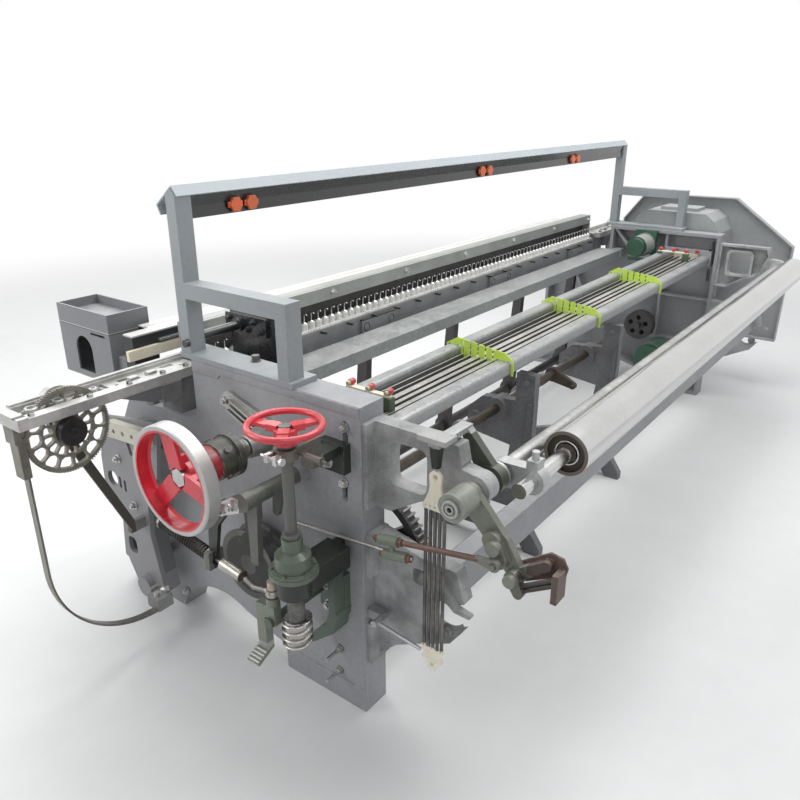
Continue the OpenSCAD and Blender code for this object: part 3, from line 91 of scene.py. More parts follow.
def fill(tree, made, sockets):
    for name, value in sockets.items():
        feed(tree, value, made.inputs[name.replace("_", " ")])
    return made

def add(tree, kind, **sockets):
    return fill(tree, tree.nodes.new(kind), sockets)

def operate(tree, kind, operation, values):
    made = tree.nodes.new(kind)
    made.operation = operation
    for slot, value in enumerate(values):
        feed(tree, value, made.inputs[slot])
    return made

def number(tree, operation, *values):
    return operate(tree, "ShaderNodeMath", operation, values).outputs[0]

def times(tree, a, b):
    return number(tree, "MULTIPLY", a, b)

def plus(tree, a, b):
    return number(tree, "ADD", a, b)

def axis_of(tree, spot, letter):
    return add(tree, "ShaderNodeSeparateXYZ", Vector=spot).outputs[letter]

def noise(tree, spot, scale, detail, rough=0.5):
    made = add(tree, "ShaderNodeTexNoise", Vector=spot, Scale=scale, Detail=detail, Roughness=rough)
    return made.outputs["Fac"]

def between(tree, value, low, high):
    made = add(tree, "ShaderNodeMapRange", Value=value, From_Min=low, From_Max=high)
    made.interpolation_type = "SMOOTHSTEP"
    return made.outputs["Result"]

def blend(tree, kind, slots, values):
    made = tree.nodes.new("ShaderNodeMix")
    made.data_type = kind
    for slot, value in zip(slots, values):
        feed(tree, (*value, 1) if isinstance(value, (tuple, list)) else value, made.inputs[slot])
    return made

def mixed(tree, mask, a, b):
    return blend(tree, "RGBA", (0, 6, 7), (mask, a, b)).outputs[2]

def blend_number(tree, mask, a, b):
    return blend(tree, "FLOAT", (0, 2, 3), (mask, a, b)).outputs[0]

def seen_by_eye(tree):
    rays = tree.nodes.new("ShaderNodeLightPath").outputs
    return number(tree, "MAXIMUM", rays["Is Camera Ray"],
        number(tree, "MAXIMUM", rays["Is Glossy Ray"], rays["Is Transmission Ray"]))

def mix_shaders(tree, mask, first, second, output):
    made = tree.nodes.new("ShaderNodeMixShader")
    for slot, value in enumerate((mask, first.outputs[0], second.outputs[0])):
        tree.links.new(value, made.inputs[slot])
    tree.links.new(made.outputs[0], tree.nodes.new(output).inputs["Surface"])

NUM, VEC = "NodeSocketFloat", "NodeSocketVector"

def group(name, inputs, outputs):
    made = bpy.data.node_groups.new(name, "ShaderNodeTree")
    made.interface.new_socket("Vector", in_out="INPUT", socket_type=VEC)
    for label, kind, value in inputs:
        made.interface.new_socket(label, in_out="INPUT", socket_type=kind).default_value = value
    for label, kind in outputs:
        made.interface.new_socket(label, in_out="OUTPUT", socket_type=kind)
    print("group:", name)
    return made, made.nodes.new("NodeGroupInput").outputs, made.nodes.new("NodeGroupOutput").inputs

def place_group(tree, made, **sockets):
    box = tree.nodes.new("ShaderNodeGroup")
    box.node_tree = made
    return fill(tree, box, sockets).outputs

print("helpers ready")

# %% [markdown]
# A loom hall has long rows of lamps in its roof, so the light is wide, soft and from above. Four large area
# lamps do the same: one over the loom, one beside its near end, and two weak ones from the warp side and
# the cloth side. The world is a plain grey that fills the shadows, and white where it is seen.

# %% Light the loom like a hall with roof lamps
def roof_lamp(name, place, aim, size, watts):
    data = bpy.data.lights.new(name, "AREA")
    data.shape = "RECTANGLE"
    data.size, data.size_y = size
    data.energy = watts
    lamp = bpy.data.objects.new(name, data)
    scene.collection.objects.link(lamp)
    lamp.visible_camera = False
    lamp.location = place
    lamp.rotation_mode = "QUATERNION"
    lamp.rotation_quaternion = (Vector(aim) - Vector(place)).to_track_quat("-Z", "Y")
    return lamp

roof_lamp("lamp_over_loom", (0.4, 0.2, 4.6), (0, 0, 0.5), (5.5, 3), 228)
roof_lamp("lamp_near_end", (-3.4, 1.7, 2), (-1.4, 0.2, 0.7), (1.8, 1.2), 30)
roof_lamp("lamp_warp_side", (-3.4, -3.2, 3.4), (-0.8, 0, 0.6), (3, 2.2), 34)
roof_lamp("lamp_cloth_side", (1, 4.6, 3.2), (0, 0.2, 0.7), (4, 2), 60)

world = bpy.data.worlds.new("hall_light")
scene.world = world
world.use_nodes = True
sky = world.node_tree
sky.nodes.clear()
sky_fill = add(sky, "ShaderNodeBackground", Color=(0.93, 0.96, 1, 1), Strength=0.33)
sky_white = add(sky, "ShaderNodeBackground", Color=(1, 1, 1, 1), Strength=1)
mix_shaders(sky, seen_by_eye(sky), sky_fill, sky_white, "ShaderNodeOutputWorld")

# %% [markdown]
# No paint on an old machine is one colour. Hands, oil and years of cleaning leave broad clouds and small
# specks in it. Two layers of noise, one large and one small, give that tone as a number from 0 to 1.

# %% Uneven tone of old paint and metal
tone_group, gi, go = group("uneven_tone", [("Cloud", NUM, 3), ("Speck", NUM, 60)], [("Tone", NUM)])
cloud = noise(tone_group, gi["Vector"], gi["Cloud"], 5, 0.62)
speck = noise(tone_group, gi["Vector"], gi["Speck"], 3, 0.6)
both = plus(tone_group, times(tone_group, cloud, 0.72), times(tone_group, speck, 0.28))
tone_group.links.new(between(tone_group, both, 0.36, 0.64), go["Tone"])

# %% [markdown]
# Corners lose their paint first. The Bevel node looks round each sharp edge; where its normal turns away
# from the face there is an edge. It also rounds the edge in the light, as a casting's edges are. A noise
# breaks the line up, because wear is never even.

# %% Rubbed and rounded edges
edge_group, gi, go = group("rubbed_edges", [("Radius", NUM, 0.003), ("Break", NUM, 40)],
    [("Edge", NUM), ("Normal", VEC)])
rounded = add(edge_group, "ShaderNodeBevel", Radius=gi["Radius"])
rounded.samples = 4
flat = edge_group.nodes.new("ShaderNodeNewGeometry")
facing = operate(edge_group, "ShaderNodeVectorMath", "DOT_PRODUCT",
    (rounded.outputs["Normal"], flat.outputs["Normal"])).outputs["Value"]
broken = noise(edge_group, gi["Vector"], gi["Break"], 4, 0.7)
worn_edge = times(edge_group, between(edge_group, facing, 0.995, 0.8),
    between(edge_group, broken, 0.42, 0.62))
edge_group.links.new(worn_edge, go["Edge"])
edge_group.links.new(rounded.outputs["Normal"], go["Normal"])

# %% [markdown]
# Lint and dust lie on every face that looks up. The face's own normal tells how level it is, and a noise
# makes the layer thin in places.

# %% Dust on level faces
dust_group, gi, go = group("settled_dust", [("Scale", NUM, 9)], [("Dust", NUM)])
level = axis_of(dust_group, dust_group.nodes.new("ShaderNodeNewGeometry").outputs["Normal"], "Z")
patchy = noise(dust_group, gi["Vector"], gi["Scale"], 6, 0.68)
dust_group.links.new(times(dust_group, between(dust_group, level, 0.35, 0.95),
    between(dust_group, patchy, 0.36, 0.66)), go["Dust"])

# %% [markdown]
# Hot-dip zinc freezes in flat crystals. A Voronoi pattern gives each crystal its own shade, and each one
# catches the light a little differently.

# %% Crystals of galvanised steel
zinc_group, gi, go = group("zinc_crystals", [("Scale", NUM, 90)], [("Shade", NUM), ("Height", NUM)])
crystal = add(zinc_group, "ShaderNodeTexVoronoi", Vector=gi["Vector"], Scale=gi["Scale"])
shade = add(zinc_group, "ShaderNodeSeparateColor", Color=crystal.outputs["Color"])
zinc_group.links.new(shade.outputs[0], go["Shade"])
zinc_group.links.new(crystal.outputs["Distance"], go["Height"])

# %% [markdown]
# Drawn bars and turned shafts carry fine lines from the tool. Noise that is pressed flat along one axis
# gives lines across it. The line direction is a vector, so that each shaft can have its own.

# %% Fine tool lines
line_group, gi, go = group("tool_lines", [("Stretch", VEC, (4, 400, 400))], [("Line", NUM)])
pressed = operate(line_group, "ShaderNodeVectorMath", "MULTIPLY", (gi["Vector"], gi["Stretch"]))
line_group.links.new(noise(line_group, pressed.outputs[0], 1, 2), go["Line"])

# %% [markdown]
# Thin rods and springs have gone brown. Rust starts in spots and grows together, so a noise with much
# detail is cut at a level: the higher the level, the less rust.

# %% Rust that starts in spots
rust_group, gi, go = group("rust_spots", [("Scale", NUM, 45), ("Level", NUM, 0.5)],
    [("Rust", NUM), ("Height", NUM)])
spots = noise(rust_group, gi["Vector"], gi["Scale"], 8, 0.72)
above = number(rust_group, "SUBTRACT", spots, gi["Level"])
rust_group.links.new(between(rust_group, above, -0.04, 0.07), go["Rust"])
rust_group.links.new(spots, go["Height"])

# %% [markdown]
# All finishes begin and end alike. They read the place in Object coordinates, so that the pattern stays on
# the piece when it moves, and end with colour, roughness, metal and a small bump over the rounded edges.

# %% What all finishes share
LINT = (0.55, 0.54, 0.51)

def start_finish(name):
    made = bpy.data.materials.new(name)
    made.use_nodes = True
    return made, made.node_tree, made.node_tree.nodes.new("ShaderNodeTexCoord").outputs["Object"]

def tone_of(tree, spot, cloud, speck):
    return place_group(tree, tone_group, Vector=spot, Cloud=cloud, Speck=speck)["Tone"]

def edges_of(tree, spot, radius, broken=40):
    return place_group(tree, edge_group, Vector=spot, Radius=radius, Break=broken)

def dust_of(tree, spot, amount):
    return times(tree, place_group(tree, dust_group, Vector=spot)["Dust"], amount)

def end_finish(tree, colour, rough, metal, height, normal, strength, distance, coat=0, coat_rough=0.12):
    skin = tree.nodes["Principled BSDF"].inputs
    feed(tree, colour, skin["Base Color"])
    feed(tree, rough, skin["Roughness"])
    feed(tree, metal, skin["Metallic"])
    bump = add(tree, "ShaderNodeBump", Height=height, Normal=normal, Strength=strength, Distance=distance)
    tree.links.new(bump.outputs["Normal"], skin["Normal"])
    if coat:
        skin["Coat Weight"].default_value = coat
        skin["Coat Roughness"].default_value = coat_rough

print("a finish has a start, an end, tone, edges and dust")

# %% [markdown]
# The castings are brushed with thick machine paint over a rough sand-cast skin. One function builds every
# painted finish: a darker and a lighter tone, bare metal at the edges, dust on top, and a bump that is
# coarse for castings and fine for folded sheet.

# %% Painted metal
def painted(name, colour, dark=0.8, light=1.12, rough=0.42, edge=0.6, edge_colour=(0.62, 0.62, 0.6),
        dust=0.35, grain=230, depth=0.00035, coat=0, radius=0.003, cloud=2.4, dirt=0, speck=70):
    made, tree, spot = start_finish(name)
    tone = tone_of(tree, spot, cloud, speck)
    edges = edges_of(tree, spot, radius)
    dusty = dust_of(tree, spot, dust)
    paint = mixed(tree, tone, [c * dark for c in colour], [min(1, c * light) for c in colour])
    if dirt:
        grime = times(tree, tone_of(tree, spot, 7, 150), dirt)
        paint = mixed(tree, grime, paint, (0.09, 0.08, 0.07))
    worn = mixed(tree, times(tree, edges["Edge"], edge), paint, edge_colour)
    uneven = plus(tree, times(tree, tone, 0.12), plus(tree, times(tree, dusty, 0.45), rough))
    end_finish(tree, mixed(tree, dusty, worn, LINT), uneven, 0,
        noise(tree, spot, grain, 3, 0.55), edges["Normal"], 0.55, depth * 4, coat)
    return made

frame_paint = painted("frame_paint", (0.33, 0.335, 0.352), dark=0.86, light=1.12, rough=0.4,
    depth=0.0005, edge_colour=(0.72, 0.72, 0.71), dirt=0.1, dust=0.25)
portal_paint = painted("portal_paint", (0.3, 0.325, 0.34), dark=0.9, light=1.1, rough=0.38,
    edge=0.45, grain=500, depth=0.0001, radius=0.0025)
cap_paint = painted("cap_paint", (0.44, 0.49, 0.52), dark=0.94, light=1.06, rough=0.36, edge=0.4,
    grain=600, depth=0.00008, radius=0.0015)
black_paint = painted("black_paint", (0.018, 0.019, 0.021), dark=0.7, light=1.4, rough=0.24,
    edge=0.5, edge_colour=(0.2, 0.2, 0.2), dust=0.16, grain=700, depth=0.00005, coat=0.5)
red_paint = painted("red_paint", (0.61, 0.02, 0.036), dark=0.82, light=1.12, rough=0.26,
    edge=0.25, edge_colour=(0.7, 0.22, 0.2), dust=0.06, grain=300, depth=0.00015, coat=0.55)
print("finishes so far:", len(bpy.data.materials))

# %% [markdown]
# Bare metal needs three things to read as steel: full Metallic, a roughness that changes from place to
# place, and something in it that is not quite clean. Tool lines go into the roughness and a weak bump, and
# rust takes over where its level says so.

# %% Bare metal
def bare(name, colour, rough=0.3, stretch=(4, 400, 400), rust=0, dark=0.72, grease=0.25,
        edge=0.5, radius=0.0015, line=0.12):
    made, tree, spot = start_finish(name)
    tone = tone_of(tree, spot, 9, 120)
    lines = place_group(tree, line_group, Vector=spot, Stretch=stretch)["Line"]
    edges = edges_of(tree, spot, radius, 80)
    metal = mixed(tree, tone, [c * dark for c in colour], colour)
    metal = mixed(tree, times(tree, edges["Edge"], edge), metal, [min(1, c * 1.35) for c in colour])
    film = times(tree, tone_of(tree, spot, 16, 60), grease)
    metal = mixed(tree, film, metal, (0.1, 0.085, 0.07))
    uneven = plus(tree, times(tree, lines, line * 2), plus(tree, times(tree, tone, 0.1), rough - line))
    metallic, height = 1, lines
    if rust:
        spots = place_group(tree, rust_group, Vector=spot, Level=1 - rust)
        oxide = mixed(tree, tone, (0.085, 0.045, 0.028), (0.23, 0.125, 0.07))
        metal = mixed(tree, spots["Rust"], metal, oxide)
        uneven = number(tree, "MINIMUM", plus(tree, uneven, times(tree, spots["Rust"], 0.45)), 1)
        metallic = number(tree, "SUBTRACT", 1, times(tree, spots["Rust"], 0.85))
        height = plus(tree, lines, spots["Height"])
    end_finish(tree, metal, uneven, metallic, height, edges["Normal"], 0.25, 0.0004)
    return made

shaft_steel = bare("shaft_steel", (0.56, 0.56, 0.55), rough=0.3, stretch=(380, 6, 6), grease=0.35)
worm_steel = bare("worm_steel", (0.54, 0.52, 0.5), rough=0.22, stretch=(6, 6, 380), grease=0.3)
strip_steel = bare("strip_steel", (0.3, 0.29, 0.26), rough=0.38, stretch=(200, 200, 8),
    grease=0.35, rust=0.36)
cast_aluminium = bare("cast_aluminium", (0.55, 0.55, 0.53), rough=0.46, stretch=(60, 60, 60),
    dark=0.7, grease=0.28)
dark_iron = bare("dark_iron", (0.105, 0.105, 0.108), rough=0.46, stretch=(40, 40, 40), grease=0.35, rust=0.38)
rusty_steel = bare("rusty_steel", (0.15, 0.128, 0.11), rough=0.42, stretch=(380, 20, 20), rust=0.4, dark=0.6)
print("finishes so far:", len(bpy.data.materials))

# %% [markdown]
# The long channels, the breast beam and the stop motion's tubes are galvanised sheet. The crystals change
# the colour and the roughness together, and the metal is dull, so it stays pale in the light.

# %% Galvanised sheet
def galvanised(name, colour, scale=95, rough=0.42, metallic=0.75):
    made, tree, spot = start_finish(name)
    crystals = place_group(tree, zinc_group, Vector=spot, Scale=scale)
    edges = edges_of(tree, spot, 0.0015)
    dusty = dust_of(tree, spot, 0.3)
    dull, dark, light = ([min(1, c * part) for c in colour] for part in (0.62, 0.86, 1.1))
    zinc = mixed(tree, crystals["Shade"], dark, light)
    zinc = mixed(tree, times(tree, tone_of(tree, spot, 2, 30), 0.25), zinc, dull)
    zinc = mixed(tree, times(tree, edges["Edge"], 0.4), zinc, (0.8, 0.8, 0.79))
    uneven = plus(tree, times(tree, crystals["Shade"], 0.16), plus(tree, times(tree, dusty, 0.4),
        rough - 0.08))
    end_finish(tree, mixed(tree, dusty, zinc, (0.6, 0.58, 0.54)), uneven, metallic,
        crystals["Height"], edges["Normal"], 0.12, 0.0003)
    return made

zinc_channel = galvanised("zinc_channel", (0.4, 0.42, 0.415), metallic=0.45)
zinc_tube = galvanised("zinc_tube", (0.345, 0.355, 0.355), scale=120, rough=0.36, metallic=0.5)
print("galvanised:", zinc_channel.name, zinc_tube.name)

# %% [markdown]
# Many nodes carry more than one finish: the handwheel's rim is bare, the pedal's tread is worn to steel,
# bolts on a painted beam are bright. A mask made from the place on the piece picks the finish there and
# turns with the piece. One small function turns the drawing's millimetres into the frame's metres, so that
# the masks can be read beside the drawing.

# %% Places on a piece as masks
drawing_middle = {"X": 1570, "Y": 384, "Z": 0}

def at(x, y, z):
    return Vector([(value - middle) / 1000 for value, middle in zip((x, y, z), drawing_middle.values())])

def above_height(z, soft=0.0006):
    return lambda tree, spot: between(tree, axis_of(tree, spot, "Z"), z - soft, z + soft)

def beyond(letters, centre, radius, soft=0.0006):
    def mask(tree, spot):
        a, b = [number(tree, "SUBTRACT", axis_of(tree, spot, letter), c) for letter,
            c in zip(letters, centre)]
        away = number(tree, "SQRT", plus(tree, times(tree, a, a), times(tree, b, b)))
        return between(tree, away, radius - soft, radius + soft)
    return mask

def in_box(soft=0.0005, **sides):
    """1 between the drawing's millimetres that are given for each axis"""
    def mask(tree, spot):
        inside = None
        for letter, (low, high) in sides.items():
            middle = ((low + high) / 2 - drawing_middle[letter.upper()]) / 1000
            half = (high - low) / 2000
            away = number(tree, "SUBTRACT", axis_of(tree, spot, letter.upper()), middle)
            one = between(tree, number(tree, "ABSOLUTE", away), half + soft, half - soft)
            inside = one if inside is None else times(tree, inside, one)
        return inside
    return mask

def above_plane(point, normal, soft=0.0005):
    def mask(tree, spot):
        away = operate(tree, "ShaderNodeVectorMath", "SUBTRACT", (spot, point)).outputs[0]
        along = operate(tree, "ShaderNodeVectorMath", "DOT_PRODUCT", (away, Vector(normal).normalized()))
        return between(tree, along.outputs["Value"], -soft, soft)
    return mask

def both_of(first, second):
    return lambda tree, spot: times(tree, first(tree, spot), second(tree, spot))

print("the drawing's zero lies at", [round(c, 3) for c in at(0, 0, 0)])

# %% [markdown]
# One function builds every finish with zones. It starts from the main finish, as colour, roughness and
# metal, and lays each zone over it where its mask is 1. Tone, rubbed edges and dust go over all zones
# alike, which ties them together as one old piece.

# %% A finish with zones
def zoned(name, main, zones, grain=260, depth=0.0005, coat=0, dark=0.82, edge=0.3, dust=0.16,
        cloud=8, radius=0.0012, film=0):
    """main is (colour, roughness, metal); each zone is (mask, colour, roughness, metal)"""
    made, tree, spot = start_finish(name)
    colour, rough, metal = main
    for mask, zone_colour, zone_rough, zone_metal in zones:
        here = mask(tree, spot)
        colour = mixed(tree, here, colour, zone_colour)
        rough = blend_number(tree, here, rough, zone_rough)
        metal = blend_number(tree, here, metal, zone_metal)
    tone = tone_of(tree, spot, cloud, 110)
    edges = edges_of(tree, spot, radius, 70)
    dusty = dust_of(tree, spot, dust)
    toned = blend(tree, "RGBA", (0, 6, 7), (1, colour, mixed(tree, tone, (dark,) * 3, (1,) * 3)))
    toned.blend_type = "MULTIPLY"
    colour = toned.outputs[2]
    if film:
        oil = times(tree, tone_of(tree, spot, 14, 60), film)
        colour = mixed(tree, oil, colour, (0.07, 0.06, 0.05))
    colour = mixed(tree, times(tree, edges["Edge"], edge), colour, (0.72, 0.71, 0.69))
    end_finish(tree, mixed(tree, dusty, colour, LINT), plus(tree, times(tree, tone, 0.1), rough),
        metal, noise(tree, spot, grain, 3), edges["Normal"], 0.3, depth, coat, 0.15)
    return made

BRIGHT = ((0.66, 0.66, 0.65), 0.26, 0.9)
BLACK = ((0.014, 0.014, 0.015), 0.4, 0)
print("zones: bright steel and black are ready")

# %% [markdown]
# From here on, a finish named after a node goes on that node. The handwheel is red inside and bare at the
# rim. The rapier wheels are light castings with a black cap over the bolt, and the lamp panel is black with
# orange clips in front. Each needs only one zone, a circle or a plane.

# %% Wheels and lamp panel
wheel_low, wheel_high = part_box("handwheel")
wheel_centre = ((wheel_low.y + wheel_high.y) / 2, (wheel_low.z + wheel_high.z) / 2)
wheel_radius = (wheel_high.z - wheel_low.z) / 2
zoned("handwheel_finish", ((0.66, 0.02, 0.04), 0.26, 0), [(beyond("YZ", wheel_centre, wheel_radius - 0.0125),
    (0.5, 0.495, 0.49), 0.46, 0.85)], coat=0.25)

for node in ("rapier_wheel_near", "rapier_wheel_far"):
    low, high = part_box(node)
    centre = ((low.x + high.x) / 2, (low.z + high.z) / 2)
    zoned(node + "_finish", ((0.016, 0.016, 0.017), 0.38, 0), [(beyond("XZ", centre, 0.0385),
        (0.34, 0.325, 0.28), 0.5, 0.5)], dark=0.66, edge=0.4, film=0.25)

panel_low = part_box("lamp_panel")[0]
clip_face = panel_low.y * 1000 + drawing_middle["Y"] + 9
zoned("lamp_panel_finish", ((0.8, 0.145, 0.035), 0.35, 0), [(in_box(y=(clip_face, clip_face + 900)),
    (0.016, 0.017, 0.019), 0.22, 0)], coat=0.5, edge=0.15)
print("handwheel radius", round(wheel_radius, 3), "centre", [round(c, 3) for c in wheel_centre])

# %% [markdown]
# The sley carries the finest mix. Its cap is galvanised with a pale top, a dark seam and bright bolts. The
# guides are glossy white feet with thin bright wires, and black socket screws stand along the beam's face.

# %% Sley, cap and tape guides
guide_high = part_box("tape_guides")[1]
zoned("tape_guides_finish", ((0.84, 0.83, 0.8), 0.2, 0), [(above_height(guide_high.z - 0.034),
    (0.72, 0.72, 0.72), 0.22, 0.95), (in_box(z=(840, 851.5)), (0.36, 0.36, 0.34), 0.4, 0.3),
    (in_box(y=(716, 719.5), z=(846, 856)), (0.8, 0.8, 0.78), 0.25, 0.6)], dark=0.92, dust=0.04, coat=0.4)
zoned("sley_cap_finish", ((0.45, 0.47, 0.45), 0.4, 0.55), [(above_height(0.9792), (0.4, 0.41, 0.385), 0.42,
    0.3), (in_box(y=(764, 766.5), z=(978, 990)), (0.03, 0.03, 0.03), 0.5, 0),
    (in_box(y=(700, 749.4)), *BRIGHT)], dark=0.8, grain=90, edge=0.35, dust=0.05)
zoned("sley_beam_finish", ((0.3, 0.3, 0.285), 0.42, 0.15), [(in_box(z=(760, 838)), (0.235, 0.24, 0.245), 0.42,
    0.1), (in_box(y=(680, 715.4), z=(828, 850)), *BLACK)], dark=0.8, edge=0.4, dust=0.3)
print("guides stand up to", round(guide_high.z, 3), "m")

# %% [markdown]
# At the cloth side the cover is white on top and grey beneath, with one pale bar at its near end. Round
# that bar, at the near end, the part under the top is painted near black as painted shadow. The bar ends
# are cream blocks with red knobs. The combs are a loud yellow-green plastic.

# %% Cloth side, bar ends and combs
cover_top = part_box("breast_beam")[1].z * 1000
zoned("breast_beam_finish", ((0.66, 0.66, 0.63), 0.36, 0), [(in_box(z=(0, cover_top - 4)), (0.24, 0.25, 0.25),
    # Painted shadow: at the near end, the cover under its top is painted near black.
    0.4, 0.4), (in_box(x=(-60, 400), z=(0, cover_top - 6)), (0.026, 0.027, 0.03), 0.45, 0),
    (in_box(x=(-60, 186), y=(860, 899.4), z=(cover_top - 73, cover_top - 39)), (0.9, 0.84, 0.66), 0.42, 0),
    (in_box(x=(-60, 3200), y=(860, 899.4), z=(cover_top - 35, cover_top - 25)), (0.42, 0.43, 0.43), 0.35,
    0.7)], dark=0.9, dust=0.06, edge=0.3)
bar_end_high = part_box("bar_ends")[1].z * 1000
zoned("bar_ends_finish", ((0.6, 0.57, 0.44), 0.42, 0.1),
    [(above_height(bar_end_high / 1000 - 0.0145), (0.62, 0.04, 0.045), 0.28, 0)], coat=0.2)
comb_plastic = painted("comb_plastic", (0.62, 0.84, 0.11), dark=0.92, light=1.05, rough=0.36,
    edge=0.2, edge_colour=(0.8, 0.95, 0.4), dust=0.06, grain=500, depth=0.00005, radius=0.0008)
cream_paint = painted("cream_plate_paint", (0.86, 0.81, 0.66), dark=0.88, light=1.06, rough=0.4,
    edge=0.3, dust=0.1, grain=400, depth=0.0001, radius=0.001)
# The contact bars are bright on top; below 805.2 mm they are painted dark as painted shade in the gaps
# between the bars.
zoned("contact_bars_finish", ((0.6, 0.59, 0.55), 0.3, 0.55), [(in_box(z=(0, 805.2)), (0.1, 0.1, 0.095), 0.45,
    0.3)], dark=0.62, cloud=3, dust=0.05, edge=0.6, film=0.2)
print("cover top at", round(cover_top), "mm; knobs above", round(bar_end_high - 14.5))

# %% [markdown]
# The let-off, the brake and the back rest are painted in a family of greens, from sage to nearly black,
# with bare or brown clamps and pins among them. Each mask is a box in the drawing's millimetres round the
# place where the real finish changes.

# %% Greens of the let-off, brake and back rest
SAGE, OLIVE, DEEP = (0.2, 0.226, 0.172), (0.088, 0.102, 0.072), (0.015, 0.021, 0.015)
housing_paint = painted("housing_paint", (0.108, 0.15, 0.104), dark=0.78, light=1.22, rough=0.32,
    edge=0.45, edge_colour=(0.36, 0.4, 0.34), dust=0.2, depth=0.0004, coat=0.3, dirt=0.2)
zoned("letoff_bracket_finish", (DEEP, 0.34, 0), [(in_box(x=(-300, -80), z=(790, 1000)), (0.15, 0.138, 0.118),
    0.42, 0.4), (in_box(z=(0, 470)), (0.085, 0.12, 0.09), 0.36, 0), (in_box(x=(-300, -219), y=(20, 120),
    z=(840, 1000)), *BRIGHT)], dark=0.7, edge=0.45, coat=0.15, dust=0.06)
zoned("pedal_lever_finish", (SAGE, 0.36, 0), [(in_box(y=(112, 144), z=(479, 520)),
    (0.56, 0.47, 0.39), 0.4, 0.1), (both_of(in_box(x=(-270, -180), y=(140, 200), z=(240, 310)),
    above_plane(at(-202, 147, 292), (-0.4617, 0, 0.887))), (0.44, 0.45, 0.42), 0.36, 0.7)],
    dark=0.8, edge=0.5, coat=0.1, film=0.12)
zoned("brake_shaft_finish", ((0.148, 0.156, 0.138), 0.38, 0), [(in_box(x=(-210, -190), y=(262, 420)), DEEP,
    0.36, 0), (in_box(x=(-150, -120)), (0.115, 0.132, 0.106), 0.38, 0),
    (in_box(x=(-260, -207.2), y=(210, 300), z=(636, 710)), *BRIGHT)], dark=0.72, edge=0.5, film=0.25)
zoned("clutch_hub_finish", ((0.07, 0.078, 0.06), 0.34, 0),
    [(in_box(x=(-142, -100)), (0.3, 0.29, 0.27), 0.34, 0.8), (in_box(x=(-240, -206.3)),
    (0.5, 0.022, 0.034), 0.32, 0)], dark=0.66, edge=0.75, coat=0.2, film=0.25, radius=0.003)
lever_finish = zoned("tension_lever_finish", ((0.205, 0.215, 0.176), 0.36, 0),
    [(in_box(x=(-60, 5), y=(-340, -262), z=(750, 830)), (0.31, 0.325, 0.28), 0.34, 0),
    (in_box(x=(23, 40), y=(-560, -410), z=(600, 730)), (0.15, 0.088, 0.07), 0.55, 0.1),
    (in_box(x=(5, 24), y=(-525, -456), z=(655, 715)), (0.105, 0.066, 0.052), 0.5, 0.3),
    (in_box(x=(-30, 40), y=(-545, -521)), (0.125, 0.08, 0.064), 0.5, 0.2),
    (both_of(in_box(x=(-14, 6), y=(-524, -425)), above_plane(at(0, -430, 640), (0, -0.9, -0.42))),
    (0.06, 0.05, 0.045), 0.45, 0.6)], dark=0.74, edge=0.5, coat=0.1, film=0.2, radius=0.003)
zoned("back_rest_arms_finish", ((0.5, 0.51, 0.51), 0.42, 0.75), [(in_box(x=(98, 129), z=(740, 894)), OLIVE,
    0.38, 0), (in_box(x=(-30, 20), z=(838, 897)), DEEP, 0.42, 0), (in_box(x=(-30, 30), z=(896, 930)),
    (0.4, 0.4, 0.39), 0.6, 0.2)], dark=0.7, edge=0.5, grain=180, depth=0.0012)
zoned("back_rest_shaft_finish", ((0.52, 0.52, 0.51), 0.3, 0.9),
    [(in_box(x=(-80, -10)), (0.31, 0.325, 0.28), 0.4, 0)], dark=0.7, edge=0.5)
zoned("spring_anchor_finish", ((0.52, 0.53, 0.54), 0.36, 0.8),
    [(in_box(x=(11, 60)), (0.34, 0.35, 0.36), 0.4, 0.5)], dark=0.72, edge=0.4)
upright_paint = painted("upright_paint", (0.108, 0.113, 0.102), dark=0.86, light=1.12, rough=0.34,
    edge=0.4, dust=0.1, depth=0.0002, coat=0.15, dirt=0.15)
zoned("brake_rod_finish", ((0.34, 0.33, 0.31), 0.32, 0.85),
    # The sleeve under the coil is painted black: painted shade inside the coil, seen between the turns.
    [(in_box(y=(363, 557)), *BLACK), (in_box(y=(236, 312)), (0.56, 0.54, 0.49), 0.28, 0.9),
    (in_box(y=(100, 150), z=(440, 480)), (0.6, 0.56, 0.5), 0.34, 0.6),
    (in_box(y=(226, 237.4)), (0.1, 0.08, 0.06), 0.5, 0.4)], dark=0.66, edge=0.4, film=0.2)
print("finishes so far:", len(bpy.data.materials))

# %% [markdown]
# The cast arms behind the side frame are left rough, with a sandy, speckled grey skin. The front bracket is
# smooth and light, with a cream stop block, a bare foot block and a brown strut that runs out to the rapier
# wheel.

# %% Castings outside the frame
sand_cast = painted("sand_cast_paint", (0.375, 0.38, 0.38), dark=0.6, light=1.28, rough=0.52, edge=0.5,
    edge_colour=(0.62, 0.62, 0.6), dust=0.25, grain=310, depth=0.0012, cloud=9, speck=330)
zoned("front_bracket_finish", ((0.245, 0.244, 0.25), 0.4, 0), [(in_box(x=(-130, -101), y=(698, 905),
    z=(650, 742)), (0.6, 0.585, 0.49), 0.44, 0), (in_box(x=(-145, -84), y=(734, 800), z=(80, 128.6)),
    (0.33, 0.33, 0.33), 0.4, 0.2), (in_box(x=(-145, -84), y=(734, 800), z=(128.6, 150)), *BRIGHT),
    (in_box(x=(-600, -140)), (0.105, 0.095, 0.08), 0.46, 0.3), (in_box(x=(-84, -2), z=(190, 680)),
    (0.16, 0.165, 0.17), 0.42, 0.2)], dark=0.86, edge=0.35, dust=0.16, grain=230, depth=0.001)
zoned("frame_bolts_finish", ((0.62, 0.62, 0.61), 0.26, 0.85),
    [(in_box(x=(-3, 200)), (0.16, 0.16, 0.16), 0.4, 0.5)], dark=0.62, edge=0.6, film=0.15)
rail_finish = zoned("rapier_rail_finish", ((0.64, 0.64, 0.62), 0.4, 0.45),
    [(in_box(z=(700, 846)), (0.21, 0.215, 0.22), 0.46, 0), (in_box(y=(700, 716), z=(878.6, 890)), *BLACK)],
    dark=0.72, edge=0.55, grain=160, depth=0.0012, film=0.18, radius=0.002)
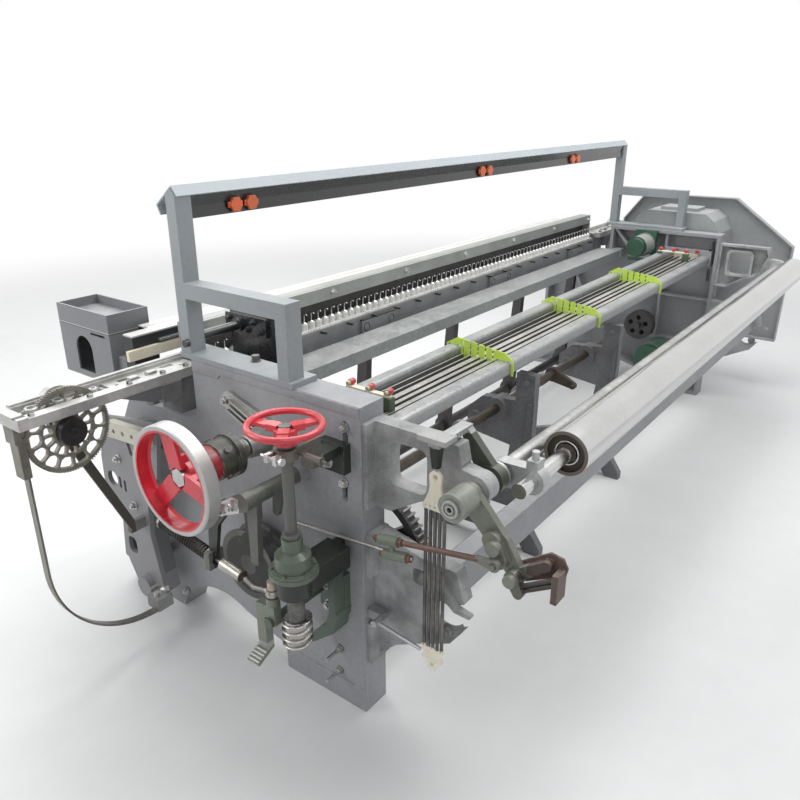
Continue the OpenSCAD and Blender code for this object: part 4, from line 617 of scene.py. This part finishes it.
casing_paint = painted("casing_paint", (0.37, 0.38, 0.385), dark=0.9, light=1.08, rough=0.42,
    edge=0.45, grain=600, depth=0.00008, radius=0.002)
stand_paint = painted("stand_paint", (0.185, 0.188, 0.2), dark=0.76, light=1.2, rough=0.44,
    edge=0.5, depth=0.0009, dirt=0.3)
zoned("drive_motor_finish", ((0.03, 0.105, 0.058), 0.3, 0), [(in_box(x=(2892.5, 3010), z=(790, 930)),
    (0.4, 0.41, 0.4), 0.4, 0.1)], dark=0.74, coat=0.35, edge=0.3, dust=0.25)
print("casting finishes ready")

# %% [markdown]
# Some turned parts show rings. The roller's open end is brown round a bright bearing, and the brake drum has
# a bare rim round a dark hollow. The gear's teeth carry a painted highlight: the ring outside the tooth root
# is painted light grey for the light on the teeth. Circles round the piece's own axis are the masks. The tray
# has one light line where its two sheets meet.

# %% Rings on the roller, the drum and the gear
def within(letters, centre, radius):
    return beyond(letters, centre, radius, soft=-0.0006)

def middle_of(node):
    low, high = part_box(node)
    return ((low.y + high.y) / 2, (low.z + high.z) / 2)

roller_axis = middle_of("back_rest_roller")
roller_start = drawing_middle["X"] + 1000 * min(v.co.x for v in nodes["back_rest_roller"].data.vertices
    if math.hypot(v.co.y - roller_axis[0], v.co.z - roller_axis[1]) > 0.055)
zoned("back_rest_roller_finish", ((0.62, 0.62, 0.615), 0.15, 1), [(in_box(x=(roller_start - 1,
    roller_start + 1)), (0.19, 0.155, 0.132), 0.42, 0.5), (both_of(in_box(x=(roller_start + 1,
    roller_start + 19)), within("YZ", roller_axis, 0.0515)), (0.075, 0.062, 0.052), 0.45, 0.4),
    (both_of(in_box(x=(roller_start + 3, roller_start + 7)), within("YZ", roller_axis, 0.039)),
    (0.7, 0.69, 0.67), 0.22, 1)], dark=0.93, edge=0.2, dust=0.03, depth=0.0001, cloud=5)
drum_axis = at(0, 352, 395)
zoned("brake_drum_finish", ((0.03, 0.03, 0.029), 0.45, 0.2), [(beyond("YZ", (drum_axis.y, drum_axis.z),
    0.0885), (0.15, 0.148, 0.144), 0.34, 0.7), (within("YZ", (drum_axis.y, drum_axis.z), 0.0305),
    (0.11, 0.108, 0.104), 0.36, 0.6)], dark=0.6, edge=0.5, film=0.15)
gear_axis = at(0, 80, 462)
# Painted highlight: the teeth beyond the root circle are painted light grey for the light on them.
zoned("beam_gear_finish", ((0.04, 0.04, 0.042), 0.42, 0.3), [(beyond("YZ", (gear_axis.y, gear_axis.z),
    0.2035), (0.36, 0.36, 0.355), 0.32, 0.8)], dark=0.6, edge=0.7, film=0.2)
tray_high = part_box("tray_box")[1].z * 1000
zoned("tray_box_finish", ((0.235, 0.238, 0.25), 0.42, 0), [(in_box(z=(tray_high - 62.5, tray_high - 59.5)),
    (0.56, 0.56, 0.55), 0.36, 0.3), (in_box(z=(tray_high - 65.5, tray_high - 62.5)), (0.1, 0.1, 0.105), 0.5,
    0)], dark=0.9, edge=0.35, dust=0.2, depth=0.0002)
print("roller's barrel starts at", round(roller_start), "mm")

# %% [markdown]
# Each CAD node keeps its shape and gets its finish in its material slots. The table lists the finishes that
# stand for several nodes or have a name of their own.

# %% Give every node its finish
shared = {frame_paint: "side_frame_near side_frame_far rear_beam",
    sand_cast: "rear_bracket_near rear_bracket_far beam_bracket_near beam_bracket_far",
    stand_paint: "shaft_stands", portal_paint: "portal_near portal_far", cap_paint: "portal_cap",
    casing_paint: "gear_casing casing_hood", black_paint: "stay_plate", housing_paint: "letoff_housing",
    red_paint: "letoff_wheel", comb_plastic: "comb_separators", zinc_channel: "cross_channel",
    zinc_tube: "stop_tubes", rail_finish: "rapier_rail_near rapier_rail_far", cast_aluminium: "shaft_bearing",
    shaft_steel: "main_shaft cam_shaft", upright_paint: "letoff_shaft", worm_steel: "letoff_worm",
    strip_steel: "guide_strip_near guide_strip_far",
    dark_iron: "reed sley_rocker drive_pulley tension_springs", rusty_steel: "tie_rod rocker_shaft"}
finish_of = {name: finish for finish, names in shared.items() for name in names.split()}
for name, piece in nodes.items():
    finish = finish_of.get(name) or bpy.data.materials[name + "_finish"]
    if not piece.material_slots:
        piece.data.materials.append(finish)
    for slot in piece.material_slots:
        slot.material = finish
print("nodes with a shared finish:", len(finish_of), "with their own:", len(nodes) - len(finish_of))

# %% [markdown]
# The floor is a plain pale sheet that takes the shadow. Far away it turns to plain white for the camera, so
# that it meets the white world without a line.

# %% Pale floor that fades to white
bpy.ops.object.select_all(action="DESELECT")
bpy.ops.mesh.primitive_circle_add(vertices=96, radius=14, fill_type="NGON", location=(0, 0, -0.0005))
floor = bpy.context.object
floor.name = "plain_floor"
bpy.ops.object.transform_apply(location=True, rotation=True, scale=True)
floor_look = bpy.data.materials.new("pale_floor")
floor_look.use_nodes = True
ft = floor_look.node_tree
ft.nodes.clear()
ft_spot = ft.nodes.new("ShaderNodeTexCoord").outputs["Object"]
ft_skin = add(ft, "ShaderNodeBsdfPrincipled", Roughness=0.85, Base_Color=mixed(ft,
    tone_of(ft, ft_spot, 0.8, 9), (0.79, 0.79, 0.785), (0.83, 0.83, 0.825)))
ft_white = add(ft, "ShaderNodeEmission", Color=(1, 1, 1, 1), Strength=1)
ft_far = beyond("XY", (0, 0), 4.9, soft=2.3)(ft, ft_spot)
mix_shaders(ft, times(ft, ft_far, seen_by_eye(ft)), ft_skin, ft_white, "ShaderNodeOutputMaterial")
floor.data.materials.append(floor_look)
print("floor ready")

# %% [markdown]
# The new pieces are made in three ways. A turned piece starts as a filled circle that is extruded and
# scaled step by step, as on a lathe. A cut plate is a filled circle whose corners are pulled to the
# outline, then extruded to its thickness. A coil is a small circle wound by the Screw modifier.

# %% Turning, cutting and winding
def start_circle(name, corners, radius, fill_type="NGON", **place):
    bpy.ops.object.select_all(action="DESELECT")
    bpy.ops.mesh.primitive_circle_add(vertices=corners, radius=radius / 1000, fill_type=fill_type, **place)
    made = bpy.context.object
    made.name = name
    bpy.ops.object.transform_apply(location=True, rotation=True, scale=True)
    return made

def edit_all():
    bpy.ops.object.mode_set(mode="EDIT")
    bpy.ops.mesh.select_all(action="SELECT")

def face_outward():
    bpy.ops.mesh.select_all(action="SELECT")
    bpy.ops.mesh.normals_make_consistent(inside=False)
    bpy.ops.object.mode_set(mode="OBJECT")

def pick(piece):
    bpy.ops.object.select_all(action="DESELECT")
    piece.select_set(True)
    bpy.context.view_layer.objects.active = piece

def close_piece(made, bevel=0):
    edit_all()
    face_outward()
    if bevel:
        round_off = made.modifiers.new("round", "BEVEL")
        round_off.width = bevel
        round_off.segments = 2
        round_off.limit_method = "ANGLE"
        bpy.ops.object.modifier_apply(modifier="round")
    bpy.ops.object.shade_smooth_by_angle(angle=math.radians(32))
    return made

def stand(made, start, along, side="Y"):
    made.rotation_mode = "QUATERNION"
    made.rotation_quaternion = along.to_track_quat("Z", side)
    made.location = start
    bpy.ops.object.transform_apply(location=True, rotation=True, scale=True)
    return made

def turned(name, start, end, profile, corners=24):
    """profile is a list of (distance from the start, radius) in millimetres"""
    made = start_circle(name, corners, profile[0][1], location=(0, 0, profile[0][0] / 1000))
    edit_all()
    for (here, radius), (there, wider) in zip(profile, profile[1:]):
        bpy.ops.mesh.extrude_region_move(TRANSFORM_OT_translate={"value": (0, 0, (there - here) / 1000)})
        bpy.ops.transform.resize(value=(wider / radius, wider / radius, 1))
    bpy.ops.object.mode_set(mode="OBJECT")
    return stand(close_piece(made), start, end - start)

def cut_plate(name, outline, face, thickness, holes=(), flat=False, bevel=0.8):
    """outline and holes (a, b, radius) in millimetres; across X at face, or lying flat at that height"""
    def place(a, b, c):
        return at(a, b, c) if flat else at(c, a, b)
    made = start_circle(name, len(outline), 50)
    for corner, (a, b) in zip(made.data.vertices, outline):
        corner.co = place(a, b, face)
    edit_all()
    lift = place(0, 0, thickness) - place(0, 0, 0)
    bpy.ops.mesh.extrude_region_move(TRANSFORM_OT_translate={"value": lift})
    face_outward()
    for a, b, radius in holes:
        bpy.ops.mesh.primitive_cylinder_add(vertices=20, radius=radius / 1000, depth=thickness * 4 / 1000,
            location=place(a, b, face + thickness / 2), rotation=(0, 0 if flat else math.pi / 2, 0))
        drill = bpy.context.object
        cut = made.modifiers.new("hole", "BOOLEAN")
        cut.object = drill
        cut.operation = "DIFFERENCE"
        pick(made)
        bpy.ops.object.modifier_apply(modifier="hole")
        bpy.data.objects.remove(drill)
    return close_piece(made, bevel / 1000)

def wound(name, outer, wire, length, turns, sides=6, steps=14):
    """a coil round Z from the origin upwards, in millimetres"""
    made = start_circle(name, sides, wire, "NOTHING", location=((outer - wire) / 1000, 0, 0),
        rotation=(math.pi / 2, 0, 0))
    screw = made.modifiers.new("wind", "SCREW")
    screw.axis = "Z"
    screw.iterations = turns
    screw.angle = math.tau
    screw.screw_offset = (length - 2 * wire) / turns / 1000
    screw.steps = screw.render_steps = steps
    screw.use_smooth_shade = True
    bpy.ops.object.modifier_apply(modifier="wind")
    edit_all()
    bpy.ops.mesh.remove_doubles(threshold=0.000001)
    bpy.ops.mesh.select_all(action="DESELECT")
    bpy.ops.mesh.select_mode(type="EDGE")
    bpy.ops.mesh.select_non_manifold()
    bpy.ops.mesh.edge_face_add()
    face_outward()
    return made

def arc(centre, radius, first, last, count=8):
    """corners of an outline along a circle, angles in degrees"""
    angles = [math.radians(first + (last - first) * i / count) for i in range(count + 1)]
    return [(centre[0] + radius * math.cos(a), centre[1] + radius * math.sin(a)) for a in angles]

def copy_of(piece, name, move):
    twin = piece.copy()
    twin.data = piece.data.copy()
    twin.name = name
    scene.collection.objects.link(twin)
    for corner in twin.data.vertices:
        corner.co += move
    return twin

def dress(piece, finish, body):
    piece.data.materials.clear()
    piece.data.materials.append(finish)
    if body:
        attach(piece, body)
    return piece

print("ways to make a piece: turned, cut_plate, wound")

# %% [markdown]
# Five coil springs pull the back rest down at the near side. The thin wire is wound so tightly that they
# look like ribbed dark tubes; in the CAD model each is a plain bar. One is wound and four are copied beside
# it. They run from the frame up to the back rest; here they stay in place, joined to neither.

# %% Wind the tension springs
spring_x, spring_y = 0, -221
spring_steel = zoned("spring_steel", ((0.19, 0.185, 0.178), 0.34, 0.9), [], dark=0.5, edge=0,
    dust=0, cloud=20, film=0.25)
first_spring = wound("tension_coil_1", outer=4.7, wire=1.3, length=396, turns=150)
for corner in first_spring.data.vertices:
    corner.co += at(spring_x, spring_y - 26, 337.5) + Vector((0, 0, 0.0013))
springs = [first_spring]
for i in range(1, 5):
    springs.append(copy_of(first_spring, "tension_coil_%d" % (i + 1), Vector((0, 0.013 * i, 0))))
for coil in springs:
    dress(coil, spring_steel, None)
    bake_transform(coil)
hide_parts("tension_springs")
print("faces in one spring:", len(springs[0].data.polygons))

# %% [markdown]
# The plates at both ends of the springs are cream sheet. The upper one has a round lobe with the pin's
# hole, a neck and a flared foot with a row of small holes. The lower one is cut like a star, with a hook
# below that the anchor rod pulls on.

# %% Plates at the springs' ends
def mirrored(half):
    return half + [(-a, b) for a, b in reversed(half)]

upper_half = [(33, 732), (34, 742), (26, 757), (18, 776), (15, 792), (16, 806)] + arc((0, 817), 17, -12, 88,
    6)
upper_plate = cut_plate("spring_plate_upper", [(spring_y + a, b) for a, b in mirrored(upper_half)],
    -4, 8, holes=[(spring_y, 818, 6)] + [(spring_y + 13 * i, 741, 2.4) for i in range(-2, 3)])
lower_half = [(4, 344), (8, 338), (12, 346), (16, 338), (22, 346), (31, 344), (34, 336), (27, 326),
    (24, 318), (31, 308), (27, 299), (18, 303), (12, 296), (15, 284), (11, 274), (4, 277)]
lower_plate = cut_plate("spring_plate_lower", [(spring_y + a, b) for a,
    b in mirrored(list(reversed(lower_half)))], -4, 8, holes=[(spring_y, 290, 5)])
dress(upper_plate, cream_paint, "back_rest")
dress(lower_plate, cream_paint, "frame")
print("plate faces:", len(upper_plate.data.polygons), len(lower_plate.data.polygons))

# %% [markdown]
# The tie rod is really several small parts in line: a brown rod with a green eye on the lever's pin, a
# short link, two green couplings with copper-brown nuts and a thin bright rod. In CAD they are one solid.
# Here each is turned on its own, so that it can have its own finish.

# %% Turn the tie rod, its couplings and its eye
copper_nut = zoned("copper_nut", ((0.24, 0.105, 0.07), 0.42, 0.6), [], dark=0.6, edge=0.4, film=0.2)
brown_rod = zoned("brown_rod", ((0.19, 0.11, 0.082), 0.46, 0.45), [], dark=0.62, edge=0.2, film=0.25)
coupling_paint = zoned("coupling_paint", ((0.2, 0.235, 0.18), 0.38, 0), [], dark=0.76, edge=0.5, film=0.15)
bright_rod = zoned("bright_rod", ((0.58, 0.57, 0.54), 0.26, 0.9), [], dark=0.72, edge=0.2, film=0.12)

def coupling(name, start, end):
    length = (end - start).length * 1000
    body = turned(name, start, end, [(10, 12), (11, 13.6), (length - 13, 13.6), (length - 12, 12)])
    nuts = [turned(name + "_nut_%d" % i, start, end, [(low, 9), (low + 1, 10.5), (high - 1, 10.5),
        (high, 9)], 6) for i, (low, high) in enumerate(((1, 9.6), (length - 11.6, length - 1)))]
    dress(body, coupling_paint, "tie_rod")
    for nut in nuts:
        dress(nut, copper_nut, "tie_rod")

coupling("coupling_upper", at(-30, -70, 616), at(-30, -150, 632))
coupling("coupling_lower", at(-30, -84, 580), at(-30, -176, 598))
main_rod = turned("tie_main_rod", at(-28, -358, 670.4), at(-28, -62, 614.4),
    [(0, 6), (2, 7), (300, 7), (301.2, 6)])
dress(turned("tie_thin_rod", at(-30, -178, 598.4), at(-30, 206, 560),
    [(0, 3.5), (1, 4.5), (384, 4.5), (385.9, 3.6)]), bright_rod, "tie_rod")
dress(turned("tie_rod_link", at(-30, -112, 625), at(-30, -122, 590), [(0, 6), (2, 7), (34, 7), (36, 6)]),
    coupling_paint, "tie_rod")
eye_outline = arc((-395, 669), 15, 50, 310, 16) + [(-362, 662), (-348, 662.5), (-348, 678), (-362, 678)]
dress(cut_plate("tie_rod_eye", eye_outline, -34, 12, holes=[(-395, 669, 6.4)], bevel=1.5), lever_finish,
    "tie_rod")
dress(main_rod, brown_rod, "tie_rod")
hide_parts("tie_rod")
print("tie rod turned: rods, link, eye, two couplings and four nuts")

# %% [markdown]
# The brake rod's spring is thick dark wire with clear gaps. In the CAD model it is a ridged sleeve, which
# is painted black as painted shade: the dark inside the coil that shows between the turns. The coil leans
# with the rod.

# %% Wind the brake spring
lean = math.radians(7.5)
brake_coil = wound("brake_coil", outer=18.4, wire=2.2, length=195, turns=20, sides=8, steps=28)
rod_start = at(-200, 345, 483)
rod_along = Vector((0, math.cos(lean), math.sin(lean)))
stand(brake_coil, rod_start + rod_along * 0.0215, rod_along, "X")
dark_spring = zoned("dark_spring_steel", ((0.075, 0.068, 0.062), 0.38, 0.8), [], dark=0.55,
    edge=0, dust=0.05, film=0.2)
dress(brake_coil, dark_spring, "brake_rod")
print("brake spring runs to", [round(c, 3) for c in rod_start + rod_along * 0.2165])

# %% [markdown]
# The swing shaft's end carries a stepped ring round a hole, whose inside is painted black as painted shade.
# It is turned out, in, and back into the hole, as a lathe tool would go.

# %% Ring on the swing shaft's end
end_ring = turned("shaft_end_ring", at(-60, -301, 792), at(-80, -301, 792),
    [(-2, 22), (5, 22), (7, 20), (7, 16), (4, 15), (4, 11), (8, 10), (8, 6.5), (2, 5.5)], 32)
ring_finish = zoned("end_ring_finish", ((0.3, 0.315, 0.275), 0.36, 0.2),
    # The inside of the hole is painted black as painted shade.
    [(in_box(x=(-90, -66.6)), (0.5, 0.5, 0.48), 0.3, 0.7), (in_box(x=(-63.5, -58), y=(-307, -295),
    z=(786, 798)), *BLACK)], dark=0.72, edge=0.5)
dress(end_ring, ring_finish, "back_rest")
print("ring radius 22 mm, hole 5.5 mm")

# %% [markdown]
# A strip of cream plastic with three red knobs lies over each end of the electrode bars, on a green block
# and a small foot. The strip is a cut plate with round ends. A knob is turned once and copied.

# %% Knob strips over the bars' ends
strip_outline = arc((264.5, 118), 9.5, 180, 360, 8) + arc((264.5, 262), 9.5, 0, 180, 8)
near_strip = cut_plate("knob_strip_near", strip_outline, 846, 6,
    holes=[(264.5, 150, 2.5), (264.5, 222, 2.5)], flat=True, bevel=0.8)
near_knob = turned("red_knob_near_1", at(250, 121, 860), at(292, 121, 860),
    [(0, 5), (1, 6), (10, 6), (11, 8.5), (13, 9.5), (28, 9.5), (31, 8), (34, 5), (36, 2)], 20)
green_block = cut_plate("bar_block_near", [(252, 106), (277, 106), (277, 136), (252, 136)], 806.2,
    39.8, flat=True, bevel=1.5)
strip_foot = cut_plate("strip_foot_near", [(256, 250), (273, 250), (273, 270), (256, 270)], 833.6,
    12.4, flat=True, bevel=1)
knob_red = zoned("knob_red", ((0.58, 0.03, 0.04), 0.28, 0), [(in_box(x=(0, 260.6)), (0.55, 0.5, 0.36), 0.4,
    0.1), (in_box(x=(2879.4, 3140)), (0.55, 0.5, 0.36), 0.4, 0.1)], dark=0.84, coat=0.4, edge=0.1)
block_green = zoned("block_green", ((0.075, 0.11, 0.06), 0.4, 0), [], dark=0.72, edge=0.4)
knobs = [near_knob] + [copy_of(near_knob, "red_knob_near_%d" % (i + 2), Vector((0, step / 1000, 0)))
    for i, step in enumerate((65, 136))]
far_move = Vector((2.605, 0, 0))
strip_set = [(near_strip, cream_paint, "cream_plate"), (green_block, block_green, "olive_paint"),
    (strip_foot, block_green, "olive_paint")] + [(k, knob_red, "red_paint") for k in knobs]
for piece, finish, slot_name in strip_set:
    twin = copy_of(piece, piece.name.replace("near", "far"), far_move)
    dress(piece, finish, "frame")
    dress(twin, finish, "frame")
print("two knob strips with", len(knobs), "knobs each")

# %% [markdown]
# Between the bars of each rapier rail sits a light lattice casting: a thin web with round windows, three
# bosses with holes and an arched rib. The web is a cut plate with its windows cut through, and the bosses
# are turned. The far ones are the near ones mirrored.

# %% Lattice casting in the rapier rails
web = cut_plate("rail_lattice_near", [(-444, 722), (-196, 722), (-196, 779), (-444, 779)], 858, 9,
    holes=[(-424, 752, 13), (-388, 738, 9), (-388, 765, 8), (-352, 752, 15), (-314, 740, 10), (-314, 765, 8),
    (-280, 752, 14), (-246, 740, 9), (-246, 765, 8), (-216, 752, 11)], flat=True, bevel=1.2)
bosses = [turned("rail_boss_near_%d" % (i + 1), at(x, y, 858), at(x, y, 890),
    [(0, r), (20, r), (22, r - 2), (22, r - 6), (8, r - 7)], 24) for i,
    (x, y, r) in enumerate(((-406, 752, 17), (-333, 751, 15), (-232, 752, 12)))]
rib = cut_plate("rail_rib_near", arc((-320, 748), 112, 168, 12, 18) + arc((-320, 742), 105, 12, 168, 18), 867,
    8, flat=True, bevel=0.8)
rib_middle = at(0, 752, 0).y
for corner in rib.data.vertices:
    corner.co.y = rib_middle + (corner.co.y - rib_middle) * 0.225
for piece in [web, rib] + bosses:
    twin = copy_of(piece, piece.name.replace("near", "far"), Vector((0, 0, 0)))
    for corner in twin.data.vertices:
        corner.co.x = -corner.co.x
    pick(twin)
    close_piece(twin)
    dress(piece, rail_finish, "frame")
    dress(twin, rail_finish, "frame")
print("lattice pieces:", 2 + len(bosses), "on each side")

# %% [markdown]
# Along the top of the near frame the casting is thicker: a low band stands out from the side and drops a
# little under the portal. It is a flat plate cut to that outline, with rounded edges, in the frame's own
# paint.

# %% Band along the top of the near frame
band = cut_plate("frame_top_band", [(2, 904), (500, 904), (510, 891), (618, 891), (618, 928.5),
    (2, 928.5)], -3.4, 3.8, bevel=0.7)
dress(band, frame_paint, "frame")
print("band faces:", len(band.data.polygons))
